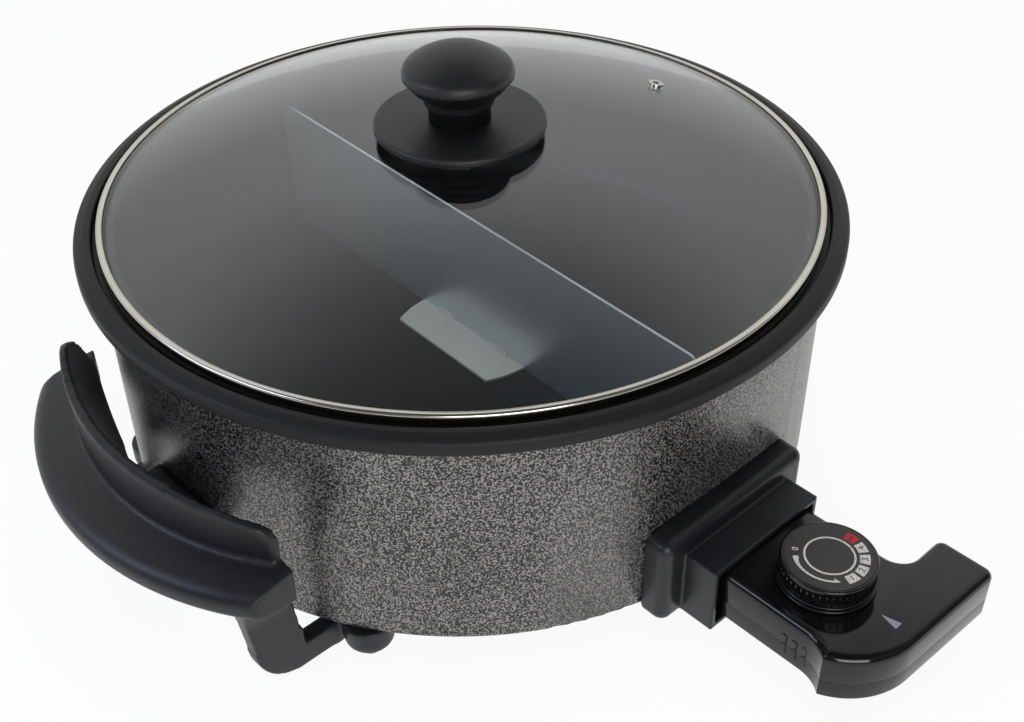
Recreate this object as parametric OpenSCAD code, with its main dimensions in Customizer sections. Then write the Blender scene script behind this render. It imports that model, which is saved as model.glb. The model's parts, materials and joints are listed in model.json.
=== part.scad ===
// Electric grill pan: cast pan in a hammertone casing, loose glass lid, divider and plug-in thermostat.
// Millimetres. +X points to the thermostat, the grips lie along +Y and -Y, +Z is up, z = 0 is the table.

/* [Pan] */
// Outer radius of the sheet casing
casing_r = 157; // [152:0.5:165]
// Sheet thickness of the casing
casing_t = 1; // [0.8:0.1:1.4]
// Height of the casing underside above the table
casing_z = 17; // [16:0.5:20]
// Rounding of the lower casing edge
casing_corner = 1.6; // [1.5:0.1:2]
// How far the rim stands out past the casing
rim_out = 8; // [6:0.5:10]
// Height of the lid ledge above the table
ledge_z = 124.2; // [120:0.2:134]
// Thickness of the ledge
ledge_t = 2.4; // [2:0.1:3]
// Height of the rim lip above the ledge
lip_h = 4; // [3:0.25:5]
// Drop of the rim skirt below the ledge
skirt_drop = 3.6; // [3:0.1:5]
// Height of the cooking floor above the table
floor_z = 50; // [49:0.5:54]
// Thickness of the cooking floor
floor_t = 3; // [2.5:0.25:4]
// Gap between the casing and the outside of the pan wall
wall_gap = 6.6; // [5:0.2:9]
// Thickness of the pan wall
wall_t = 2.4; // [2:0.2:3]
// Inside radius of the corner between floor and wall
corner_r = 16; // [12:1:20]

/* [Underside] */
// Width of the turned-in casing flange
flange_w = 17; // [15:0.5:20]
// Thickness of the base plate
plate_t = 1.2; // [1:0.1:2]
// Number of vent slots in the base plate
vent_count = 8; // [4:1:12]
// Distance of the heater ring in from the casing wall
heater_inset = 65; // [60:1:70]
// Radius of the heater tube
heater_tube_r = 4.25; // [3.75:0.25:4.5]
// Bend radius of the heater cold ends
heater_bend_r = 14; // [12:1:16]
// Distance of the heat shield edge in from the casing wall
shield_inset = 25; // [21:1:35]

/* [Inlet] */
// Reach of the shroud flange past the casing
flange_reach = 5.5; // [4.5:0.5:7]
// Reach of the square mouth past the flange
mouth_reach = 15.9; // [14:0.1:17]
// Half width of the mouth, outside
mouth_half = 31.7; // [31.3:0.1:34]
// Height of the mouth underside above the table
mouth_z = 14.2; // [13.6:0.1:14.6]
// Height of the mouth, outside
mouth_h = 31.7; // [31.2:0.1:33]
// Wall of the mouth
mouth_wall = 2.6; // [2:0.1:2.8]
// Half width of the flange
flange_half = 43; // [41:0.5:46]
// Height of the flange underside above the table
flange_z = 12; // [10:0.5:12.5]
// Height of the flange
flange_h = 43; // [40:0.5:46]
// Height of the slope pressed into the casing above the flange
pocket_rise = 9; // [7:0.5:11]
// Rounding of the flange edges
flange_round = 5; // [3:0.5:5.5]
// Height of the pins and the probe above the table
pin_z = 31; // [30.6:0.1:31.4]
// Half spacing of the pins
pin_half = 17; // [16.5:0.25:18]
// Radius of a pin
pin_r = 3; // [2.5:0.1:3.2]
// Radius of the probe
probe_r = 3.75; // [3.25:0.25:4]

/* [Grips] */
// Radius of the outer edge of a grip
grip_r = 133.5; // [131:0.5:136]
// Distance from the casing wall back to the grip arc centre
grip_back = 84.2; // [82:0.2:86]
// Sideways offset of the grip arc centre
grip_side = 10.5; // [9:0.5:12]
// Height of the grip top above the table
grip_z = 77; // [74:0.5:80]
// Thickness of the grip
grip_t = 15.5; // [14:0.5:16.5]
// Rounding of the grip edge
grip_round = 6; // [4:0.5:6.4]
// Finger gap between grip and casing
finger_gap = 9; // [8:0.25:11]
// Height of the finger guard above the grip
guard_h = 28.5; // [26:0.5:30]
// Thickness of the finger guard
guard_t = 3; // [2.4:0.2:4]
// Width of a leg
leg_w = 8; // [6:0.5:10]
// Height of the leg arm
arm_h = 15.5; // [13:0.5:15.8]
// Radius of a foot boss
boss_r = 10.5; // [9:0.25:11]
// Radius of a rubber foot pad
pad_r = 5; // [4.8:0.1:5.2]

/* [Lid] */
// Gap between the lid band and the rim lip
lid_gap = 2.4; // [1.9:0.1:3.4]
// Height of the lid band
band_h = 6.6; // [6.4:0.1:7.2]
// Radius of the glass dome
dome_r = 450; // [430:5:480]
// Thickness of the glass
glass_t = 4; // [3.5:0.25:4]
// Radius of the knob plate
knob_plate_r = 36.4; // [34:0.1:40]
// Radius of the knob
knob_r = 23.4; // [21:0.1:25]
// Height of the knob above its plate
knob_h = 32; // [30:0.5:33]
// Distance of the steam vent in from the lid edge
vent_inset = 47; // [37:1:60]
// Direction of the steam vent in degrees
vent_turn = 82.5; // [70:0.5:95]

/* [Divider] */
// Gap between the divider ends and the pan wall
divider_gap = 7.5; // [5:0.5:15]
// Height of the divider
divider_h = 62.8; // [58:0.2:66]
// Sheet thickness of the divider
divider_t = 1.2; // [1:0.1:2]
// Turn of the divider about the pan axis in degrees
divider_turn = -1.7; // [-90:0.1:90]
// Length of a divider foot
foot_len = 70.6; // [66:0.2:76]
// Width of a divider foot
foot_w = 18.8; // [16:0.2:20]

/* [Thermostat] */
// Half width of the thermostat neck
neck_half = 27; // [26:0.25:27.4]
// Height of the thermostat underside above the table
body_z = 20.5; // [20:0.25:20.5]
// Height of the thermostat body
body_h = 22.5; // [22:0.25:22.5]
// Height of the lower shell
seam_h = 9; // [7:0.25:10]
// Wall of the thermostat shells
shell_t = 2.2; // [1.8:0.1:2.4]
// Distance of the dial axis from the mouth
dial_dist = 28.1; // [27:0.1:30]
// Radius of the dial
dial_r = 19.5; // [18:0.25:20.5]
// Height of the dial
dial_h = 11.9; // [11:0.1:13]
// Number of grip grooves round the dial
dial_grooves = 48; // [36:4:60]
// Reach of the grip arm to the side
arm_side = 51; // [46:0.5:54]
// Radius of the rounded end about the arm
end_r = 33.5; // [32.5:0.25:34.5]

/* [Fits] */
// Radial gap of fixed pins and screws in their holes
fit_gap = 0.05; // [0.03:0.01:0.1]
// Radial gap of parts that move in a hole
slide_gap = 0.35; // [0.3:0.05:0.5]
// Gap between a resting part and what it rests on
rest_gap = 0.2; // [0.1:0.05:0.3]

/* [Hidden] */
$fn = 96;
// Derived levels and radii
rim_r = casing_r + rim_out;
wall_out = casing_r - casing_t - wall_gap;
wall_in = wall_out - wall_t;
lip_in = casing_r + 0.4;
lip_z = ledge_z + lip_h;
ledge_under = ledge_z - ledge_t;
skirt_z = ledge_z - skirt_drop;
floor_under = floor_z - floor_t;
casing_in = casing_r - casing_t;
heater_ring_r = casing_r - heater_inset;
shield_r = casing_r - shield_inset;
divider_len = 2 * (wall_in - divider_gap);
plate_r = casing_r - flange_w + 6.5;
plate_z = casing_z + casing_t;
screw_ring_r = casing_r - flange_w + 3.2;
// Inlet and thermostat positions along X from the pan axis
flange_x = casing_r + flange_reach;
mouth_x = flange_x + mouth_reach;
dial_x = mouth_x + dial_dist;
arm_in_x = dial_x + 17.7;
arm_out_x = dial_x + 43.5;
end_x = dial_x + 8.7;
nose_x = flange_x + 2.5;
// Flat of the casing behind the flange, and where its slope starts
pocket_x = sqrt(casing_r * casing_r - flange_half * flange_half);
pocket_z = flange_z + flange_h + 1;
body_top = body_z + body_h;
seam_z = body_z + seam_h;
probe_tip_x = heater_ring_r - 26;
// Middle of the whole part, so that the origin is at the centre of its footprint
pan_x = (rim_r - arm_out_x) / 2;
// Lid radius and levels
lid_r = lip_in - lid_gap;
vent_dist = lid_r - vent_inset;
band_z = ledge_z + rest_gap;
band_top = band_z + band_h;
glass_r = lid_r - 0.8;
glass_edge_z = band_top - 1.4;
dome_z = glass_edge_z - sqrt(dome_r * dome_r - glass_r * glass_r);
dome_top = dome_z + dome_r;
knob_plate_z = dome_top + 5.35;
// Grip arc centre
grip_y = casing_r - grip_back;
grip_in = casing_r + finger_gap;
grip_under = grip_z - grip_t;
// Arc of the finger guard, and the arc of the finger room behind its near half
guard_side = grip_side + 1.5;
guard_y = grip_y - 9.8;
guard_r = grip_r - 9.5;
hold_side = grip_side + 22.5;
hold_y = grip_y + 33.2;
hold_r = grip_r - 59.5;
// Bridge that carries a grip, and its screws
bridge_x = 4.5;
bridge_w = 39;
bridge_turns = [for (s = [-13, 13]) asin((bridge_x + s) / casing_r)];
fixing_z = grip_under - 11.5;
// Heater ends
heater_z = floor_under - 0.8 * heater_tube_r;
heater_turn = asin((pin_half + heater_bend_r) / (heater_ring_r + heater_bend_r));
heater_end_x = (heater_ring_r + heater_bend_r) * cos(heater_turn);
strap_x = casing_r - 13;
// Foot boss directions in degrees and their distance from the pan axis
boss_turns = [-57.8, -119.1];
boss_dist = casing_r - 7;
near_boss_x = boss_dist * cos(boss_turns[0]);
away_boss_x = boss_dist * cos(boss_turns[1]);
// Ends of a grip, and the outer faces of its legs
near_end = near_boss_x + 9;
away_end = away_boss_x - 3;
near_leg_x = near_end - 16;
away_leg_x = away_end + 10;

// Puts a shape drawn about the pan axis in the frame of the whole part
module at_pan() {
    translate([pan_x, 0, 0])
        children();
}

// Puts a shape on the dial axis
module at_dial() {
    translate([pan_x + dial_x, 0, 0])
        children();
}

// Turns a shape drawn along +Z so that it points along +X from x0 at height z
module along_x(x0, y, z) {
    translate([x0, y, z])
        rotate([0, 90, 0])
            children();
}

// Cup outline with a rounded corner, from the axis out to r and from z0 to z1
module cup_2d(r, z0, z1, corner) {
    translate([0, z0])
        square([r - corner, z1 - z0]);
    translate([0, z0 + corner])
        square([r, z1 - z0 - corner]);
    translate([r - corner, z0 + corner])
        circle(corner);
}

// Rim section, from the ledge out over the lip to the skirt
module rim_2d() {
    crest = 2.6;
    polygon([[wall_in, ledge_under], [rim_r - 2.6, ledge_under], [rim_r - 2.6, skirt_z],
        [rim_r - 0.8, skirt_z], [rim_r, skirt_z + 0.8], [rim_r, lip_z - 1 - crest],
        [rim_r - crest, lip_z - 1], [lip_in + 3.2, lip_z], [lip_in + 0.8, lip_z],
        [lip_in, lip_z - 0.8], [lip_in, ledge_z], [wall_in + 0.8, ledge_z], [wall_in, ledge_z - 0.8]]);
    translate([rim_r - crest, lip_z - 1 - crest])
        circle(crest);
}

module inner_pan() {
    at_pan()
        color([0.12, 0.12, 0.13])
            rotate_extrude()
                union() {
                    difference() {
                        cup_2d(wall_out, floor_under, ledge_z - 1, corner_r + wall_t);
                        cup_2d(wall_in, floor_z, ledge_z + 1, corner_r);
                    }
                    rim_2d();
                }
}

// Turned position of a grip fixing, measured from -Y
module grip_fixings() {
    for (half = [0, 180])
        for (a = bridge_turns)
            rotate([0, 0, half + a - 90])
                children();
}

// Positions of the four foot bosses
module boss_spots() {
    for (half = [0, 180])
        for (a = boss_turns)
            rotate([0, 0, half + a])
                translate([boss_dist, 0, 0])
                    children();
}

// Space outside the flat and the slope pressed into the casing at the inlet, moved inward by d
module inlet_pocket(d) {
    foot_x = pocket_x - d;
    turn_z = pocket_z + 0.4 * d;
    top_x = foot_x + casing_r - pocket_x + 1;
    rotate([90, 0, 0])
        translate([0, 0, -flange_half - 20])
            linear_extrude(2 * flange_half + 40)
                polygon([[foot_x, 0], [foot_x, turn_z], [top_x, turn_z + pocket_rise],
                    [casing_r + 20, turn_z + pocket_rise], [casing_r + 20, 0]]);
}

module outer_casing() {
    at_pan()
        color([0.42, 0.42, 0.42])
            difference() {
                rotate_extrude()
                    difference() {
                        cup_2d(casing_r, casing_z, ledge_under, casing_corner);
                        square([casing_r - flange_w, casing_z + 4]);
                    }
                inlet_pocket(0);
                difference() {
                    rotate_extrude()
                        cup_2d(casing_in, casing_z + casing_t, ledge_under + 1, casing_corner - casing_t);
                    inlet_pocket(casing_t);
                }
                translate([casing_r - 12, -mouth_half + mouth_wall - 0.5, casing_z + 3.4])
                    cube([20, 2 * (mouth_half - mouth_wall + 0.5), mouth_z + mouth_h - casing_z - 5.6]);
                grip_fixings()
                    along_x(casing_r - 6, 0, fixing_z)
                        cylinder(r = 2 + fit_gap, h = 12);
                for (s = [-1, 1])
                    along_x(casing_r - 20, s * (flange_half - 7), flange_z + flange_h - 7)
                        cylinder(r = 1.75 + fit_gap, h = 24);
                boss_spots()
                    translate([0, 0, casing_z - 1])
                        cylinder(r = 2 + fit_gap, h = 4);
                for (a = [45 : 90 : 315])
                    rotate([0, 0, a])
                        translate([screw_ring_r, 0, casing_z - 1])
                            cylinder(r = 1.75 + fit_gap, h = 4);
            }
}

module base_plate() {
    at_pan()
        color([0.55, 0.56, 0.57])
            difference() {
                union() {
                    translate([0, 0, plate_z])
                        cylinder(r = plate_r, h = plate_t);
                    translate([0, 0, plate_z - 1])
                        cylinder(r = 60, h = 1.5);
                }
                for (i = [0 : vent_count - 1])
                    rotate([0, 0, 360 / vent_count * (i + 0.5)])
                        translate([78, -3, plate_z - 1])
                            cube([36, 6, 4]);
                for (a = [45 : 90 : 315])
                    rotate([0, 0, a])
                        translate([screw_ring_r, 0, plate_z - 1])
                            cylinder(r = 1.75 + fit_gap, h = 4);
            }
}

module base_screws() {
    at_pan()
        color([0.75, 0.75, 0.76])
            for (a = [45 : 90 : 315])
                rotate([0, 0, a])
                    translate([screw_ring_r, 0, 0])
                        difference() {
                            union() {
                                translate([0, 0, casing_z - 2])
                                    cylinder(r = 3.2, h = 2);
                                translate([0, 0, casing_z - 0.5])
                                    cylinder(r = 1.75, h = casing_t + plate_t + 2.5);
                            }
                            translate([-2.4, -0.4, casing_z - 2.5])
                                cube([4.8, 0.8, 1.3]);
                            translate([-0.4, -2.4, casing_z - 2.5])
                                cube([0.8, 4.8, 1.3]);
                        }
}

// Section of the heater tube, flattened on top where it lies against the floor
module heater_2d() {
    intersection() {
        circle(heater_tube_r);
        translate([-heater_tube_r - 1, -heater_tube_r - 1])
            square([2 * heater_tube_r + 2, 1.8 * heater_tube_r + 1]);
    }
}

// Square collar over a joint of the heater, its length along X
module heater_collar() {
    wide = heater_tube_r + 0.6;
    translate([-3, -wide, -wide])
        cube([6, 2 * wide, wide + 0.8 * heater_tube_r - 0.2]);
}

module heating_element() {
    at_pan()
        color([0.35, 0.33, 0.32])
            translate([0, 0, heater_z])
                union() {
                    rotate([0, 0, heater_turn + 0.6])
                        rotate_extrude(angle = 360 - 2 * heater_turn - 1.2)
                            translate([heater_ring_r, 0])
                                heater_2d();
                    for (s = [0, 1])
                        mirror([0, s, 0]) {
                            rotate([0, 0, heater_turn])
                                translate([heater_ring_r, 0, 0])
                                    rotate([0, 0, 90])
                                        heater_collar();
                            translate([heater_end_x, pin_half + heater_bend_r, 0])
                                rotate([0, 0, 183 + heater_turn])
                                    rotate_extrude(angle = 84 - heater_turn)
                                        translate([heater_bend_r, 0])
                                            heater_2d();
                            translate([heater_end_x, pin_half, 0])
                                heater_collar();
                            translate([heater_end_x + 0.8, pin_half, 0])
                                rotate([90, 0, 90])
                                    linear_extrude(strap_x - heater_end_x - 0.8)
                                        heater_2d();
                        }
                }
}

module element_clamps() {
    bar_top = heater_z - heater_tube_r;
    at_pan()
        color([0.7, 0.7, 0.71])
            for (a = [90, 180, 270])
                rotate([0, 0, a])
                    union() {
                        translate([heater_ring_r - 15, -6, bar_top - 1.6])
                            cube([30, 12, 1.6]);
                        for (s = [-1, 1])
                            translate([heater_ring_r + s * 10.5, 0, bar_top - 3.4])
                                cylinder(r = 3.2, h = floor_under - bar_top + 3.4);
                    }
}

module terminal_straps() {
    at_pan()
        color([0.78, 0.66, 0.38])
            for (s = [-1, 1])
                translate([strap_x, s * pin_half - 5, pin_z - 4])
                    cube([2, 10, heater_z + 3 - pin_z + 4]);
}

module contact_pins() {
    at_pan()
        color([0.82, 0.8, 0.74])
            for (s = [-1, 1]) {
                along_x(strap_x + 2, s * pin_half, pin_z)
                    cylinder(r = pin_r, h = flange_x + 9.5 - strap_x - 2);
                along_x(flange_x + 9.5, s * pin_half, pin_z)
                    cylinder(r1 = pin_r, r2 = pin_r - 1.2, h = 1.4);
            }
}

module pin_block() {
    block_top = mouth_z + mouth_h - mouth_wall - 0.3;
    at_pan()
        color([0.86, 0.83, 0.76])
            difference() {
                translate([casing_r - 7, -mouth_half + mouth_wall, casing_z + 3.6])
                    cube([9.8, 2 * (mouth_half - mouth_wall), block_top - casing_z - 3.6]);
                for (s = [-1, 1])
                    along_x(casing_r - 10, s * pin_half, pin_z)
                        cylinder(r = pin_r + fit_gap, h = 20);
                along_x(casing_r - 10, 0, pin_z)
                    cylinder(r = probe_r + 1.2, h = 20);
            }
}

module probe_block() {
    at_pan()
        color([0.72, 0.73, 0.74])
            difference() {
                translate([probe_tip_x - 6, -8.5, pin_z - 6.5])
                    cube([66, 17, floor_under - pin_z + 6.5]);
                along_x(probe_tip_x - 10, 0, pin_z)
                    cylinder(r = probe_r + slide_gap, h = 80);
            }
}

module heat_shield() {
    shield_z = plate_z + plate_t + 2.4;
    at_pan()
        color([0.8, 0.81, 0.82])
            difference() {
                union() {
                    translate([0, 0, shield_z])
                        cylinder(r = shield_r, h = 0.8);
                    for (a = [20 : 120 : 260])
                        rotate([0, 0, a])
                            translate([shield_r - 14, 0, plate_z + plate_t])
                                cylinder(r = 5, h = 2.6);
                }
                translate([0, 0, shield_z - 1])
                    cylinder(r = 18, h = 4);
            }
}

// Block with rounded front edges, its front at x1
module flange_block(x0, x1) {
    r = flange_round;
    inner_half = flange_half - r;
    z0 = flange_z + r;
    z1 = flange_z + flange_h - r;
    translate([x0, -inner_half, flange_z])
        cube([x1 - r - x0, 2 * inner_half, flange_h]);
    translate([x0, -flange_half, z0])
        cube([x1 - r - x0, 2 * flange_half, z1 - z0]);
    translate([x0, -inner_half, z0])
        cube([x1 - x0, 2 * inner_half, z1 - z0]);
    for (s = [-1, 1])
        for (z = [z0, z1]) {
            along_x(x0, s * inner_half, z)
                cylinder(r = r, h = x1 - r - x0);
            translate([x1 - r, s * inner_half, z])
                sphere(r);
        }
    for (z = [z0, z1])
        translate([x1 - r, inner_half, z])
            rotate([90, 0, 0])
                cylinder(r = r, h = 2 * inner_half);
    for (s = [-1, 1])
        translate([x1 - r, s * inner_half, z0])
            cylinder(r = r, h = z1 - z0);
}

module inlet_shroud() {
    at_pan()
        color([0.1, 0.1, 0.11])
            difference() {
                union() {
                    flange_block(pocket_x, flange_x);
                    translate([flange_x - 6, -mouth_half, mouth_z])
                        cube([mouth_reach + 6, 2 * mouth_half, mouth_h]);
                }
                translate([casing_r - 20, -mouth_half + mouth_wall, mouth_z + mouth_wall])
                    cube([60, 2 * (mouth_half - mouth_wall), mouth_h - 2 * mouth_wall]);
                for (s = [-1, 1])
                    along_x(casing_r - 20, s * (flange_half - 7), flange_z + flange_h - 7)
                        cylinder(r = 1.75 + fit_gap, h = 22);
            }
}

module inlet_screws() {
    seat = pocket_x - casing_t;
    at_pan()
        color([0.75, 0.75, 0.76])
            for (s = [-1, 1])
                translate([0, s * (flange_half - 7), flange_z + flange_h - 7]) {
                    along_x(seat - 2.4, 0, 0)
                        cylinder(r = 3.4, h = 2.4);
                    along_x(seat - 0.5, 0, 0)
                        cylinder(r = 1.75, h = casing_r + 1 - seat);
                }
}

// Plan of a grip: the arc cut at both ends with rounded corners
module grip_plan_2d() {
    near_r = 8;
    away_r = 8;
    near_y = -grip_y - sqrt(grip_r * grip_r - pow(near_end - near_r - grip_side, 2)) + near_r;
    away_y = -grip_y - sqrt(grip_r * grip_r - pow(away_end + away_r - grip_side, 2)) + away_r;
    translate([away_end + away_r, -casing_r - 70])
        square([near_end - near_r - away_end - away_r, 100]);
    translate([near_end - near_r, near_y])
        circle(near_r);
    translate([near_end - near_r - 1, near_y])
        square([near_r + 1, 60]);
    translate([away_end + away_r, away_y])
        circle(away_r);
    translate([away_end, away_y])
        square([away_r + 1, 60]);
}

// Grip section with a rounded outer edge
module grip_2d() {
    translate([40, grip_under])
        square([grip_r - 40 - grip_round, grip_t]);
    translate([40, grip_under + grip_round])
        square([grip_r - 40, grip_t - 2 * grip_round]);
    for (z = [grip_under + grip_round, grip_z - grip_round])
        translate([grip_r - grip_round, z])
            circle(grip_round);
}

// Finger guard section before its inside is cut, leaning slightly outward
module guard_2d() {
    top = grip_z + guard_h;
    edge = guard_t / 2;
    polygon([[60, grip_z - 4], [guard_r, grip_z - 4], [guard_r + 1.5, top - edge],
        [guard_r + 1.5 - edge, top - edge], [guard_r + 1.5 - edge, top], [60, top]]);
    translate([guard_r + 1.5 - edge, top - edge])
        circle(edge);
}

// Side outline of the finger guard, rounded at both ends
module guard_side_2d() {
    top = grip_z + guard_h;
    left = away_end + 18;
    right = near_end - 7;
    polygon([[left, grip_z - 8], [left, top - 10], [left + 10, top - 10], [left + 10, top],
        [left + 30, top - 2.8], [left + 76, top - 5.5], [right - 17, top - 8.5], [right - 8, top - 10],
        [right - 8, top - 18], [right, top - 18], [right, grip_z - 8]]);
    translate([left + 10, top - 10.3])
        circle(10);
    translate([right - 8, top - 18.3])
        circle(8);
}

// Space behind the guard: a cone that opens upward, the finger room of the near half, and the finger gap
module guard_back() {
    slope = (guard_t + 11) / (guard_h + grip_t);
    low = guard_r + 1.5 - guard_t - slope * (guard_h + grip_t);
    translate([guard_side, -guard_y, grip_under - 2])
        cylinder(r1 = low - 2 * slope, r2 = low + slope * 48, h = 50);
    translate([hold_side, -hold_y, grip_under - 2])
        cylinder(r = hold_r, h = 50);
    translate([near_end - 18, -casing_r - 5, grip_under - 2])
        cube([40, 60, 50]);
    translate([0, 0, grip_under - 2])
        cylinder(r = grip_in, h = 60);
}

// Side outline of a leg: y is measured outward, the sole stays just above the table
module leg_2d(out, inner) {
    bend = 21;
    heel = out - 6.5 - bend;
    polygon([[inner + 8, grip_under + 2], [out, grip_under + 2], [out - 4.5, grip_under - 20],
        [out - 6.8, bend + 3.5], [heel, bend + 3.5], [heel, 3.8], [casing_r - 35, 2.5],
        [casing_r - 35, arm_h], [inner, arm_h], [inner + 2.6, grip_under - 22]]);
    intersection() {
        translate([heel, bend + 3.5])
            circle(bend);
        translate([heel - 1, 0])
            square([bend + 2, bend + 4]);
    }
}

// Front outline of a leg: its outer face is at x = 0 and flares out under the grip
module leg_front_2d() {
    flare = 31.5;
    difference() {
        translate([-leg_w, -1])
            square([leg_w + 13, grip_under + 3]);
        translate([flare, grip_under - 23.5])
            circle(flare);
        translate([0, -2])
            square([20, grip_under - 21.5]);
    }
}

// One leg of the near end, its outer face at x = 0
module leg(out, inner) {
    intersection() {
        translate([20, 0, 0])
            rotate([90, 0, -90])
                linear_extrude(60)
                    leg_2d(out, inner);
        translate([0, -casing_r + 40, 0])
            rotate([90, 0, 0])
                linear_extrude(90)
                    leg_front_2d();
    }
}

// Round boss under the casing edge, with a hole for its screw and a seat for its pad
module foot_boss() {
    difference() {
        union() {
            rotate_extrude()
                cup_2d(boss_r, 3.5, casing_z, 5);
        }
        translate([0, 0, 1])
            cylinder(r = pad_r - 1, h = 8);
        translate([0, 0, 1])
            cylinder(r = 2 + fit_gap, h = 20);
    }
}

// One grip at -Y, drawn about the pan axis
module grip() {
    difference() {
        union() {
            difference() {
                union() {
                    intersection() {
                        translate([grip_side, -grip_y, 0])
                            rotate_extrude()
                                grip_2d();
                        translate([0, 0, grip_under - 1])
                            linear_extrude(grip_t + 2)
                                grip_plan_2d();
                    }
                    intersection() {
                        translate([guard_side, -guard_y, 0])
                            rotate_extrude()
                                guard_2d();
                        translate([0, -casing_r + 20, 0])
                            rotate([90, 0, 0])
                                linear_extrude(120)
                                    guard_side_2d();
                    }
                }
                guard_back();
            }
            difference() {
                union() {
                    translate([bridge_x - bridge_w / 2, -casing_r - 20, fixing_z - 7])
                        cube([bridge_w, 25, 14]);
                    translate([bridge_x - bridge_w / 2, -casing_r - 27, fixing_z - 7])
                        cube([bridge_w, 9, grip_under + 2 - fixing_z + 7]);
                }
                translate([0, 0, fixing_z - 10])
                    cylinder(r = casing_r, h = 40);
            }
            difference() {
                intersection() {
                    union() {
                        translate([near_leg_x, 0, 0])
                            leg(casing_r + 24, casing_r - 4.5);
                        translate([away_leg_x, 0, 0])
                            mirror([1, 0, 0])
                                leg(casing_r + 24, casing_r - 4.5);
                    }
                    translate([grip_side, -grip_y, 0])
                        cylinder(r = grip_r - 1, h = grip_z);
                    translate([away_end + 1, -casing_r - 60, 0])
                        cube([near_end - away_end - 1, 120, grip_z]);
                }
                for (a = boss_turns)
                    rotate([0, 0, a])
                        translate([boss_dist, 0, -1])
                            cylinder(r = boss_r - 0.5, h = casing_z);
            }
            for (a = boss_turns)
                rotate([0, 0, a])
                    translate([boss_dist, 0, 0])
                        foot_boss();
        }
        for (a = bridge_turns)
            rotate([0, 0, a - 90])
                along_x(casing_r - 6, 0, fixing_z)
                    cylinder(r = 2 + fit_gap, h = 18.5);
    }
}

module grip_near() {
    at_pan()
        color([0.15, 0.15, 0.16])
            grip();
}

module grip_far() {
    at_pan()
        color([0.15, 0.15, 0.16])
            rotate([0, 0, 180])
                grip();
}

module grip_screws() {
    at_pan()
        color([0.75, 0.75, 0.76])
            grip_fixings()
                translate([0, 0, fixing_z]) {
                    along_x(casing_in - 2.3, 0, 0)
                        cylinder(r = 3.6, h = 2.2);
                    along_x(casing_in - 1, 0, 0)
                        cylinder(r = 2, h = 12);
                }
}

module foot_screws() {
    at_pan()
        color([0.75, 0.75, 0.76])
            boss_spots() {
                translate([0, 0, 6.4])
                    cylinder(r = 3.6, h = 2.6);
                translate([0, 0, 8])
                    cylinder(r = 2, h = casing_z + 4 - 8);
            }
}

module foot_pads() {
    at_pan()
        color([0.08, 0.08, 0.08])
            boss_spots()
                union() {
                    cylinder(r = pad_r, h = 3.5);
                    translate([0, 0, 1])
                        cylinder(r = pad_r - 1 - fit_gap, h = 5);
                }
}

// Puts a shape on the dome at the steam vent, square to the glass
module at_vent() {
    lean = asin(vent_dist / dome_r);
    translate([0, 0, dome_z])
        rotate([0, 0, vent_turn])
            rotate([0, lean, 0])
                translate([0, 0, dome_r])
                    children();
}

module lid_glass() {
    at_pan()
        color([0.6, 0.64, 0.66, 0.35])
            difference() {
                rotate_extrude()
                    difference() {
                        intersection() {
                            translate([0, dome_z])
                                circle(dome_r, $fn = 1440);
                            translate([0, band_z])
                                square([glass_r, 60]);
                        }
                        translate([0, dome_z])
                            circle(dome_r - glass_t, $fn = 1440);
                        translate([-dome_r, -dome_r])
                            square([dome_r, 3 * dome_r]);
                    }
                translate([0, 0, dome_top - 20])
                    cylinder(r = 4, h = 40);
                at_vent()
                    translate([0, 0, -20])
                        cylinder(r = 2.6, h = 40);
            }
}

module lid_band() {
    lip = 2.7;
    at_pan()
        color([0.8, 0.78, 0.74])
            rotate_extrude()
                difference() {
                    union() {
                        translate([lid_r - lip, band_z])
                            square([lip - 0.7, band_h]);
                        translate([lid_r - 0.8, band_z + 0.7])
                            square([0.8, band_h - 1.4]);
                        for (z = [band_z + 0.7, band_top - 0.7])
                            translate([lid_r - 0.7, z])
                                circle(0.7);
                    }
                    translate([0, band_z + 0.6])
                        square([glass_r + 0.05, band_h - 1.2]);
                }
}

module knob_seal() {
    at_pan()
        color([0.12, 0.12, 0.12])
            difference() {
                translate([0, 0, dome_top])
                    cylinder(r = 19, h = 1.2);
                translate([0, 0, dome_top - 10])
                    cylinder(r = 4, h = 30);
            }
}

module knob_plate() {
    at_pan()
        color([0.11, 0.11, 0.12])
            difference() {
                union() {
                    translate([0, 0, knob_plate_z - 3.6])
                        cylinder(r = knob_plate_r, h = 2.4);
                    translate([0, 0, knob_plate_z - 1.2])
                        cylinder(r1 = knob_plate_r, r2 = knob_plate_r - 1.4, h = 1.2);
                    translate([0, 0, dome_top + 1.2])
                        cylinder(r = 18, h = 1.2);
                    difference() {
                        translate([0, 0, dome_top - 0.6])
                            cylinder(r = 33, h = 2.6);
                        translate([0, 0, dome_top - 1])
                            cylinder(r = 30.5, h = 10);
                        for (a = [0 : 30 : 330])
                            rotate([0, 0, a])
                                translate([26, -2.5, dome_top - 1.6])
                                    cube([10, 5, 2.6]);
                    }
                }
                translate([0, 0, dome_top - 10])
                    cylinder(r = 2.5 + fit_gap, h = 40);
            }
}

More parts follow.
